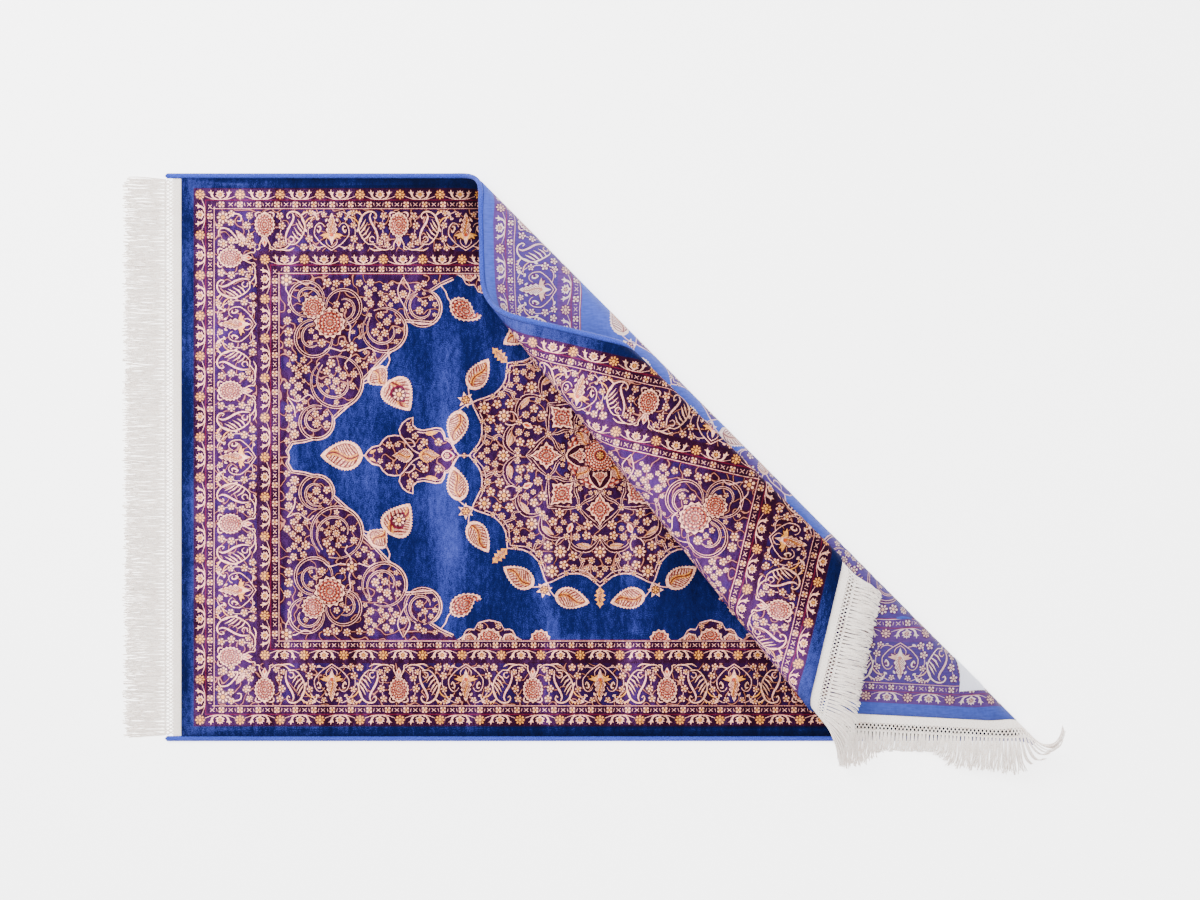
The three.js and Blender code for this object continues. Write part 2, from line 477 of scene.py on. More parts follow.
def toothed_leaf(length: float, width: float, teeth: int = 12, blunt: float = 0.75,
                 dye: Dye = Dye.CREAM) -> list[Shape]:
    """A large serrated leaf with its veins, its stem at the origin and its tip on +V.

    Args:
        length: from stem to tip.
        width: the greatest width.
        teeth: how many teeth each side has.
        blunt: under 1 puts the widest place nearer the stem.
        dye: the dye of its edge.

    Returns:
        The leaf, the dark line within its edge, and its veined middle.
    """
    inner = almond(length, width, max(teeth // 2, 3), 0, blunt)
    middle = (0, 0.45 * length)
    return [
        Shape(almond(length, width, teeth, 2.6, blunt), dye),
        Shape(scaled(inner, 0.8, middle), Dye.BROWN),
        Shape(scaled(inner, 0.74, middle), Dye.LACE, VEINS),
    ]


def lotus(radius: float) -> list[Shape]:
    """A lotus in profile that opens towards +V.

    Args:
        radius: how far its petals reach.

    Returns:
        The flower, on its pointed foot, and its heart.
    """
    tips = [polar(radius, angle) * (1, 0.95) for angle in range(-20, 201, 36)]
    dips = [polar(0.6 * radius, angle) for angle in range(-2, 183, 36)]
    fan = [p for pair in zip(tips, dips) for p in pair] + [tips[-1]]
    foot = np.array([(-0.3, -0.6), (0, -1), (0.3, -0.6)]) * radius
    return [Shape(np.array([*fan, *foot]), Dye.CREAM), Shape(ring(0.5 * radius, 8, 0, 90), Dye.GOLD, 5)]


def flame() -> list[Shape]:
    """A leaf of three flames beside a lotus, which it leans away from.

    Returns:
        The shape, in a list.
    """
    return [Shape(np.array([
        (5, -8), (12, -7), (15.4, -3.6), (17.4, 1.6), (21.6, 4.6), (18, 4), (16.6, 8.8), (14.6, 3.6),
        (11.4, 4.8), (13.2, -0.6), (11, -5), (6, -7),
    ]), Dye.CREAM)]


def spaced(half: float, count: int) -> np.ndarray:
    """The middles of a number of equal lengths that fill a side."""
    return (np.arange(count) + 0.5) * (2 * half / count) - half


def sides(half: Point) -> Iterator[tuple[float, float, int, Callable[[float], Point]]]:
    """The four sides of a border.

    Args:
        half: half the border's length and width at its centreline.

    Yields:
        A side's turn, half length, row in a table (0 for the long sides and 1 for the
        short ones), and where a place along it is.
    """
    u, v = half
    yield 0, u, 0, lambda s: (s, v)
    yield 180, u, 0, lambda s: (-s, -v)
    yield 90, v, 1, lambda s: (-u, s)
    yield -90, v, 1, lambda s: (u, -s)


@dataclass(frozen=True)
class MinorBorder:
    """A narrow border of lotuses between flames, joined by garlands, with rosettes between."""

    half: Point
    repeats: tuple[int, int]

    def repeat(self, pitch: float) -> list[Shape]:
        """One lotus with its flames and garland, growing outwards.

        Args:
            pitch: how long a repeat is.

        Returns:
            The shapes, the lowest first.
        """
        edge = pitch / 2 - 6
        rise = [(-edge, -2), (-0.62 * edge, -6.6), (-0.3 * edge, -8.4)]
        garland = rise + [(-u, v) for u, v in rise[::-1]]
        return [vine(garland, 1.3, Dye.PINK, 0.7, 0.7), *mirrored(flame()), *lotus(8.6)]

    def draw(self) -> list[Shape]:
        """All four sides and the rosettes at the corners.

        Returns:
            The shapes, the lowest first.
        """
        shapes = []
        for turn, half, row, place in sides(self.half):
            pitch = 2 * half / self.repeats[row]
            for s in spaced(half, self.repeats[row]):
                shapes += placed(self.repeat(pitch), place(s), turn)
                shapes += placed(rosette(8.0, 8, Dye.GOLD), place(s - pitch / 2), turn)
        return shapes


@dataclass(frozen=True)
class Guard:
    """A guard stripe of small flowers and crosses between fine lines."""

    half: Point
    repeats: tuple[int, int]
    short: float = 4.0
    line: float = -7.4

    def repeat(self, pitch: float) -> list[Shape]:
        """Two flowers, one between dashes, with the crosses between them.

        Args:
            pitch: how long a repeat is.

        Returns:
            The shapes, the lowest first.
        """
        quarter = pitch / 4
        bar = vine([(quarter - 3.6, -3), (quarter + 3.6, 3)], 1.1, Dye.PINK, 0.8, 0.8, 1)
        dash = vine([(-quarter + 7.4, -2.8), (-quarter + 8.8, 2.8)], 1.3, Dye.PINK, 0.6, 0.6, 1)
        half = placed([bar, dash], (-quarter, 0))
        other = placed(half, flip=True)
        shapes = [*half, *other, *placed(other, (2 * quarter, 0)), *placed(half, (2 * quarter, 0))]
        for u in (-quarter, quarter):
            shapes += placed(rosette(5.4, 4), (u, 0), 45)
        ends = np.array([(-2 * quarter, self.line), (2 * quarter, self.line)])
        return [*shapes, Shape(stroke(ends, 0.9), Dye.PINK)]

    def draw(self) -> list[Shape]:
        """All four sides.

        Returns:
            The shapes, the lowest first.
        """
        shapes = []
        for turn, half, row, place in sides(self.half):
            count = self.repeats[row]
            for s in spaced(half - self.short, count):
                shapes += placed(self.repeat(2 * (half - self.short) / count), place(s), turn)
        return shapes


@dataclass(frozen=True)
class MainBorder:
    """The wide border: vases under ogee arches, palmettes between, and curled acanthus."""

    half: Point
    step: tuple[float, float]
    palmettes: tuple[tuple[int, ...], tuple[int, ...]] = ((-5, -3, -1, 1, 3, 5), (-3, -1, 1, 3))
    vases: tuple[tuple[int, ...], tuple[int, ...]] = ((-4, -2, 0, 2, 4), (-2, 0, 2))

    def palmette(self) -> list[Shape]:
        """An oval toothed palmette with its horns, calyx and drop.

        Returns:
            The shapes, the lowest first.
        """
        half = [
            vine([(3, -14), (7, -20), (9.5, -27), (9, -32.5), (13, -34.5), (17, -34)],
                 1.9, Dye.CREAM, 0.7, 0.5),
            vine([(7, 32), (13, 32), (16.5, 29), (15.5, 24.5)], 2.6, Dye.PINK, 0.3, 0.9),
            Shape(np.array([(1, -10), (5, -13), (6.5, -22), (3, -17)]), Dye.PINK),
        ]
        return [
            *mirrored(half),
            Shape(ring(1, 40, 0.12, 90, 1.22) * 18.5 + (0, 10), Dye.CREAM),
            Shape(np.array([(-4.5, 30), (0, 34), (4.5, 30), (0, 26)]), Dye.CREAM),
            Shape(ring(15.4, 20, 0, 90, 1.24) + (0, 9.6), Dye.LACE, -4),
            Shape(np.array([(0, -12), (4.4, -22), (0, -30), (-4.4, -22)]), Dye.CREAM),
            Shape(np.array([(0, -18), (2.2, -22.5), (0, -27), (-2.2, -22.5)]), Dye.COPPER),
        ]

    def acanthus(self) -> list[Shape]:
        """The curled leaf on the left of a palmette, in the palmette's own place.

        Returns:
            The shapes, the lowest first.
        """
        feathers = [
            [(-69, 2), (-64, 10), (-59, 20)], [(-69, -5), (-62, 3), (-56, 14)],
            [(-67, -11), (-59, -5), (-52.5, 6)], [(-63, -17), (-55.5, -12), (-49.5, -2)],
            [(-71, 10), (-68, 17), (-64, 26)],
        ]
        stem = [(-12, -29), (-17, -33), (-25, -35), (-36, -33), (-43, -27), (-47, -24)]
        curl = [(-42, -24), (-54, -25), (-65, -14), (-72, 3), (-69, 19), (-62, 29), (-53, 33.5), (-44, 32),
                (-40, 26), (-42, 21), (-45, 24)]
        spine = [(-39, -25), (-37.5, -12), (-42, 2), (-49, 14), (-52, 24), (-49, 31)]
        return [
            vine(stem, 2.0, Dye.CREAM, 0.6),
            vine([(-30, -35), (-44, -36), (-53, -31)], 2.2, Dye.CREAM, 0.4, 0.2),
            vine(curl, 2.6, Dye.CREAM, 0.5, 0.5),
            vine(spine, 3.4, Dye.PINK, 0.2, 0.2),
            *[vine(line, 2.6, Dye.CREAM, 0.5, 0.1, 1) for line in feathers],
            vine([(-43, -15), (-47, -11), (-52, -14), (-51, -20), (-45, -21)], 1.9, Dye.PINK, 0.4),
            vine([(-66, 27), (-73, 32), (-81, 32), (-89, 29), (-93, 24), (-92, 20)], 2.4, Dye.CREAM, 1, 0.4),
            *[Shape(np.array([(x, y), (x - 2.6, y + 4.6), (x - 4.4, y + 0.6)]), Dye.GOLD)
              for x, y in ((-68, 30.5), (-73, 32.2), (-78, 32.6), (-83, 31.6))],
            vine([(-72, 12), (-77, 19), (-84, 23), (-91, 22.5)], 2.2, Dye.GOLD, 0.8, 0.2),
        ]

    def vase(self) -> list[Shape]:
        """A vase of tiered leaves over a lotus, under an ogee arch that opens outwards.

        Returns:
            The shapes, the lowest first.
        """
        arch = [(0, -36), (-7, -31.5), (-14.5, -26.5), (-20, -22), (-26, -15), (-31, -7), (-29.5, 6),
                (-23, 13), (-16, 11), (-13, 6)]
        wing = [(0, -3), (-9, -5), (-15, -6.5), (-21, -9.5), (-14, -11), (-16, -15.5), (-9, -12.5),
                (-5, -16), (0, -14)]
        half = [
            vine(arch, 1.5, Dye.PINK, 1, 0.6),
            vine([(0, -31), (-6, -27), (-10, -21), (-9, -15)], 1.3, Dye.PINK, 1, 0.5),
            vine([(-25, 6), (-21, 7), (-20, 2), (-24, -4), (-26, 1)], 2.6, Dye.CREAM, 0.5, 0.5),
            Shape(np.array(wing), Dye.GOLD),
            vine([(-12, -28), (-22, -31), (-31, -28.5), (-34, -24)], 1.5, Dye.PINK, 1, 0.4),
        ]
        cone = even((0, 31), (3.4, 25), (2.8, 22), (6.2, 18), (5, 14.5), (9, 9.5), (6.8, 6), (10.6, 1),
                    (7, -4), (4.5, -12), (0, -14))
        return [
            *mirrored(half),
            Shape(cone, Dye.CREAM),
            Shape(almond(40, 15, 5) + (0, -13), Dye.RUSSET, VEINS),
            Shape(np.array([(0, -9), (4.2, -15), (0, -27), (-4.2, -15)]), Dye.CREAM),
            Shape(ring(3.4, 6, 0, 90) + (0, -8.5), Dye.COPPER),
        ]

    def sprays(self) -> list[Shape]:
        """The small flowers on a stem down the left of a palmette."""
        spots = [(-27, 26, 5.8), (-31, 8, 6), (-26, -11, 5.8), (-21, -26, 5), (-33, -22, 4.6)]
        return [vine([(-22, 32), (-29, 18), (-29, 0), (-25, -18), (-27, -30)], 1.2), *flowers(spots, 4)]

    def beside_vase(self) -> list[Shape]:
        """The small flowers and leaves down the left of a vase.

        Returns:
            The shapes, the lowest first.
        """
        spots = [(-39, 9, 5.2), (-40, -15, 6), (-34.5, -31, 5.4), (-50, -30, 6),
                 (-14, 28, 4.6), (-37, 31, 4.8)]
        leaves = [((-22, 22), 120), ((-28, 30), 60), ((-45, -3), 20), ((-8, 21), 150), ((-20, -33), 80)]
        leaf = [Shape(almond(7, 3.6, 2), Dye.CREAM)]
        return [
            vine([(-8, 30), (-20, 33), (-33, 24), (-41, 8), (-42, -10), (-38, -26)], 1.2),
            *flowers(spots, 5),
            *[s for at, turn in leaves for s in placed(leaf, at, turn)],
        ]

    def corner(self) -> list[Shape]:
        """What fills the upper left corner of the border, round the corner's own middle.

        Returns:
            The shapes, the lowest first.
        """
        curl = [(-30, -12), (-31, -2), (-25, 4), (-14, 2), (-5, -6), (2, -15), (3, -22), (-4, -21), (-5, -14)]
        return [
            *placed(rosette(10, 8), (-23, 23)),
            *flowers([(-9, 14, 5.4), (-8, 30, 5.4), (-30, 8, 5.4)], 0),
            vine(curl, 2.6, Dye.CREAM, 0.5, 0.4),
            vine([(-14, 22), (-2, 30), (9, 26), (9, 17), (2, 17)], 2.2, Dye.CREAM, 0.5, 0.5),
            *placed([Shape(almond(26, 11, 4, 1.2), Dye.LACE)], (16, -20), 38),
            *placed(rosette(6.5, 6), (-22, -24)),
            *flowers([(-8, -31, 5.5), (24, 26, 5), (18, 9, 5.4)], 0),
        ]

    def draw(self) -> list[Shape]:
        """All four sides and corners.

        Returns:
            The shapes, the lowest first.
        """
        shapes = []
        for turn, _, row, place in sides(self.half):
            outermost = max(self.palmettes[row])
            for number in self.palmettes[row]:
                at = place(number * self.step[row])
                shapes += placed(self.sprays() + outlined(self.palmette()), at, turn)
                shapes += placed(self.sprays(), at, turn, flip=True)
                for flip, end in ((False, -outermost), (True, outermost)):
                    if number != end:
                        shapes += placed(outlined(self.acanthus(), 1.2), at, turn, flip=flip)
            for number in self.vases[row]:
                at = place(number * self.step[row])
                shapes += placed(self.beside_vase() + outlined(self.vase(), 1.2), at, turn)
                shapes += placed(self.beside_vase(), at, turn, flip=True)
        u, v = self.half
        for flip_u in (False, True):
            upper = placed(placed(self.corner(), (-u, v)), flip=flip_u)
            shapes += upper + upended(upper)
        return shapes


def densified(outline: np.ndarray, pitch: float = 2.5) -> np.ndarray:
    """An outline with points at least as close as a pitch.

    Args:
        outline: its points.
        pitch: the greatest distance between two.

    Returns:
        The points of the finer outline.
    """
    pieces = []
    for a, b in zip(outline, np.roll(outline, -1, axis=0)):
        count = max(int(np.linalg.norm(b - a) / pitch), 1)
        pieces.append(a + (b - a) * np.linspace(0, 1, count, endpoint=False)[:, None])
    return np.vstack(pieces)


def within(points: np.ndarray, outline: np.ndarray) -> np.ndarray:
    """Which points an outline winds round.

    Args:
        points: the points to test, a row each.
        outline: the closed outline, which may cross itself.

    Returns:
        A truth value for each point.
    """
    a, b = outline, np.roll(outline, -1, axis=0)
    x, y = points[:, :1], points[:, 1:]
    side = (b[:, 0] - a[:, 0]) * (y - a[:, 1]) - (x - a[:, 0]) * (b[:, 1] - a[:, 1])
    up = (a[:, 1] <= y) & (b[:, 1] > y) & (side > 0)
    down = (a[:, 1] > y) & (b[:, 1] <= y) & (side < 0)
    return (up.sum(1) - down.sum(1)) != 0


def filled_with_flowers(region: np.ndarray, taken: list[Shape], pitch: float, seed: int) -> list[Shape]:
    """Fills what is left of a region with small flowers.

    Args:
        region: its outline.
        taken: the shapes that are there already.
        pitch: how far apart the flowers are.
        seed: what the uneven placing starts from.

    Returns:
        The flowers.
    """
    least, greatest, room_needed = 5.4, 8.0, 3.6
    rng = np.random.default_rng(seed)
    low, high = region.min(0), region.max(0)
    border = densified(region)
    busy = np.vstack([densified(shape.outline) for shape in taken])
    solid = [shape for shape in taken if shape.dye not in (Dye.GROUND, Dye.SHADE, Dye.PINK)]
    shapes = []
    for row, v in enumerate(np.arange(low[1], high[1], pitch * 0.5)):
        for u in np.arange(low[0] + (row % 2) * pitch / 2, high[0], pitch):
            at = np.array([u, v]) + rng.uniform(-0.12, 0.12, 2) * pitch
            radius, petals, turn = rng.uniform(least, greatest), int(rng.integers(5, 9)), rng.uniform(0, 90)
            if not within(at[None], region)[0] or any(within(at[None], shape.outline)[0] for shape in solid):
                continue
            room = min(np.linalg.norm(spots - at, axis=1).min() for spots in (busy, border))
            if room > room_needed:
                radius = min(radius, room - 1.0)
                flower = rosette(radius, petals if radius > 6 else 5)
                shapes += placed(flower, at, turn)
                busy = np.vstack([busy, flower[0].outline + at])
    return shapes


def around(*spots: Point) -> list[Point]:
    """Points from their radii and angles."""
    return [tuple(polar(radius, angle)) for radius, angle in spots]


@dataclass(frozen=True)
class Medallion:
    """The round medallion, of sixteen lobes, with its ring of leaves, and the pendants."""

    rise: float = 3.0
    lobes: tuple[Point, ...] = (
        (0, 234), (3, 225), (5.5, 218), (8.4, 215), (11.25, 215), (15, 219), (18.5, 231), (21, 242),
    )
    knot_reach: float = 247.0
    leaf_reach: float = 261.0

    def outline(self) -> np.ndarray:
        """The lobed outline.

        Returns:
            Its points.
        """
        points = []
        for number in range(8):
            turn = 45 * number
            points += [polar(radius, turn + angle) for angle, radius in self.lobes]
            points.append(polar(self.knot_reach, turn + 22.5))
            points += [polar(radius, turn + 45 - angle) for angle, radius in reversed(self.lobes[1:])]
        return np.array(points)

    def sector(self) -> list[Shape]:
        """What lies between an axis and the middle of the next sixteenth.

        Returns:
            The shapes, the lowest first.
        """
        spots = [
            (202.4, 2.6, 6), (188.4, 4.6, 6.5), (223, 2.4, 4.6), (204, 6.6, 5.4), (148, 3.6, 5.6),
            (145, 9.6, 8), (125.5, 9.8, 9), (151.5, 16.2, 7), (206, 18.4, 8.4), (186, 15, 9),
            (207, 13.2, 7.2), (219, 16.2, 5), (66.5, 7, 4.2), (190, 9.4, 4.6), (136, 16.4, 5),
        ]
        edge = [(radius - 7, angle) for angle, radius in self.lobes] + [(self.knot_reach - 13, 22.5)]
        hook = vine(around((157, 22.5), (166, 19), (178, 18.6), (180, 20.4)), 2.0, Dye.PINK, 0.5, 0.5)
        return [
            *twin(around((100, 22.5), (113, 11.6), (122, 4), (132, 0)), 6.5),
            *twin(around((100, 22.5), (86, 17.8), (78, 10.3), (67, 4.3), (62, 0)), 5.5, 2),
            *twin(around((147, 0), (160, 3), (170, 6.5), (173, 11), (170, 16.5), (157, 22.5)), 7.5, 2),
            *twin(around((216, 8.8), (206, 10), (196, 9.2), (184, 11.5), (174, 9.5)), 4.6, 2),
            *outlined([hook]),
            vine(around(*edge), 1.5, steps=1),
            *placed([Shape(almond(26, 10, 4), Dye.CREAM, VEINS)], polar(164, 5.8), 9),
            *[s for radius, angle, size in spots
              for s in placed(rosette(0.88 * size, 5 + int(size) % 4), polar(radius, angle), 3 * radius)],
        ]

    def eighth(self) -> list[Shape]:
        """What stands on an axis and on the line midway to the next.

        Returns:
            The shapes, the lowest first.
        """
        diamond = even((0, 30), (3.5, 22), (8, 19), (9, 12), (15, 11), (17, 4.5), (25, 0), (18, -5),
                       (15, -12), (9, -12), (7, -19), (3.5, -21), (0, -29))
        framed = [*outlined([Shape(diamond, Dye.CREAM)], 2.0), Shape(diamond * 0.84, Dye.LACE, -4)]
        bud = [Shape(almond(20, 12, 3, 1.5, 0.9), Dye.CREAM),
               Shape(almond(13, 5, 3, 0, 0.9) + (0, 3), Dye.COPPER)]
        eye = [Shape(ring(8, 12, 0, 0, 0.62), Dye.SHADE), *rosette(3.6, 5)]
        spots = (
            (10, 8, 172.7, 0), (6, 5, 212, 0), (5.4, 4, 147, 0), (7.4, 7, 120, 22.5), None,
            (10.5, 8, 186, 22.5), (10.5, 8, 224, 22.5), (5.4, 6, 100, 22.5), (5.4, 6, 157, 22.5),
        )
        shapes = placed(framed, polar(96, 0), -90)
        for spot in spots:
            if spot is None:
                shapes += placed(outlined(bud), polar(150, 22.5), 22.5 + 90)
            else:
                radius, petals, reach, angle = spot
                shapes += placed(rosette(radius, petals), polar(reach, angle))
        for angle in (14, -14):
            shapes += placed(eye, polar(69, angle), angle + 90)
        return shapes

    def heart(self) -> list[Shape]:
        """The rosette in the middle, with a palmette on each axis in a dark bay.

        Returns:
            The shapes, the lowest first.
        """
        kite = even((0, 28), (5, 18), (9, 12), (13, 9), (12, 2), (7, 5), (4, 0), (0, 4))
        bay = smooth([(-19, 0), (-18, 14), (-9, 27), (0, 32), (9, 27), (18, 14), (19, 0)], 2)
        leaf = almond(34, 26, 6, 2.4, 0.9)
        palmette = [Shape(bay * 1.08, Dye.CREAM), Shape(bay, Dye.SHADE), Shape(kite, Dye.CREAM),
                    Shape(scaled(kite, 0.8, (0, 12)), Dye.LACE, -3)]
        leaves = [Shape(leaf, Dye.SHADE), Shape(scaled(leaf, 0.86, (0, 15)), Dye.LACE, VEINS)]
        shapes = [Shape(ring(64, 32, 0.08), Dye.SHADE), Shape(ring(62, 32, 0.08), Dye.CREAM),
                  Shape(ring(60, 32), Dye.RUSSET, -9)]
        for turn in range(0, 360, 90):
            shapes += placed(palmette, polar(27, turn), turn - 90)
            shapes += placed(leaves, polar(27, turn - 45), turn - 90 - 45)
        return [
            *shapes,
            Shape(ring(31, 36, 0.14), Dye.SHADE), Shape(ring(29, 36, 0.14), Dye.CREAM, -6),
            Shape(ring(9.2, 16), Dye.BROWN), Shape(ring(8, 16), Dye.GOLD, 8),
        ]

    def leaf_ring(self) -> list[Shape]:
        """The sixteen leaves, with the knots and sprays that they hang on.

        Returns:
            The shapes, the lowest first.
        """
        shapes = []
        spray = [Shape(almond(38, 21, 5, 6, 0.9), Dye.GOLD),
                 Shape(almond(28, 8, 4, 0, 0.9) + (0, 3), Dye.RUSSET, VEINS)]
        knot = [Shape(ring(15, 12, 0.5, 90), Dye.CREAM), Shape(ring(8, 10), Dye.GOLD, 6)]
        stems = [vine([(-22, 4), (-9, -3), (0, -14), (9, -3), (22, 4)], 1.8)]
        for turn in range(0, 360, 45):
            for side in (-1, 1):
                middle = polar(self.leaf_reach, turn + side * 11.0)
                lean = turn + side * 13 - 90 - side * 90
                shapes += placed(toothed_leaf(64, 40), middle - 32 * polar(1, lean + 90), lean)
            if turn not in (0, 180):
                shapes += placed(spray, polar(235, turn), turn - 90)
            shapes += placed(knot, polar(260, turn + 22.5), turn)
            shapes += placed(stems, polar(260, turn + 22.5), turn + 22.5 - 90)
        return shapes

    def pendant(self) -> list[Shape]:
        """The left pendant, with the leaf at its far end, along -U from the medallion.

        Returns:
            The shapes, the lowest first.
        """
        upper = [
            (-252, 0), (-257, 6), (-266, 24), (-272, 30), (-277, 31), (-279, 40), (-284, 48), (-294, 49.5),
            (-304, 47), (-316, 45), (-327, 47), (-335, 54), (-335, 68), (-344, 65), (-353, 58), (-359, 46),
            (-357, 35), (-368, 36), (-380, 34), (-388, 27), (-394, 18), (-407, 15), (-415, 8), (-421, 0),
        ]
        closed = np.array(upper + [(u, -v) for u, v in upper[-2:0:-1]])
        spots = [(-377, 19, 6), (-362, 20, 4.6), (-314, 24, 6.4), (-289, 24, 6.4), (-331, 35, 5.4),
                 (-340, 47, 5.4), (-322, 15, 4.4), (-343, 56, 3.4), (-393, 10, 4.4)]
        half = [
            vine([(u * 0.985 - 5, v * 0.9) for u, v in upper[1:11]], 1.4, steps=1),
            vine([(-357, 35), (-347, 24), (-335, 10), (-322, 3), (-315, 0)], 2.0),
            vine([(-349, 30), (-341, 30), (-333, 24), (-332, 17), (-337, 16)], 2.4, Dye.PINK, 0.5, 0.5),
            *placed([Shape(almond(22, 8, 4), Dye.GOLD)], (-312, 39), -84),
            *placed([Shape(almond(13, 5, 3), Dye.GOLD)], (-412, 4), -60),
            *flowers(spots, 2),
        ]
        fan = [Shape(almond(24, 20, 4, 0, 0.8), Dye.PINK),
               Shape(almond(19, 14, 4, 0, 0.8) + (0, 2.4), Dye.WINE),
               *placed(rosette(4.4, 6), (0, 10))]
        return [
            Shape(inset(closed, -1.2), Dye.PINK),
            Shape(inset(closed, 1.0), Dye.GROUND),
            *half,
            *upended(half),
            *placed(toothed_leaf(38, 27, 9, 1.5), (-372, 0), -90),
            *placed(toothed_leaf(38, 27, 9, 1.5, Dye.GOLD), (-286, 0), 90),
            *placed(fan, (-284, 0), -90),
            vine([(-254, 0), (-231, 0)], 2.0),
            *placed(rosette(4, 4), (-243, 0)),
            vine([(-419, 0), (-430, 0)], 2.0, steps=1),
            *placed(toothed_leaf(76, 55, 14), (-424, 0), 90),
        ]

    def draw(self) -> list[Shape]:
        """The whole medallion and both pendants.

        Returns:
            The shapes, the lowest first.
        """
        outline = self.outline()
        sector = self.sector()
        shapes = [Shape(inset(outline, -1.2), Dye.PINK), Shape(inset(outline, 1.0), Dye.GROUND)]
        for part in (sector + upended(sector), self.eighth()):
            for number in range(8):
                shapes += placed(part, turn=45 * number)
        shapes += self.heart() + self.leaf_ring() + mirrored(self.pendant())
        return placed(shapes, (0, self.rise))


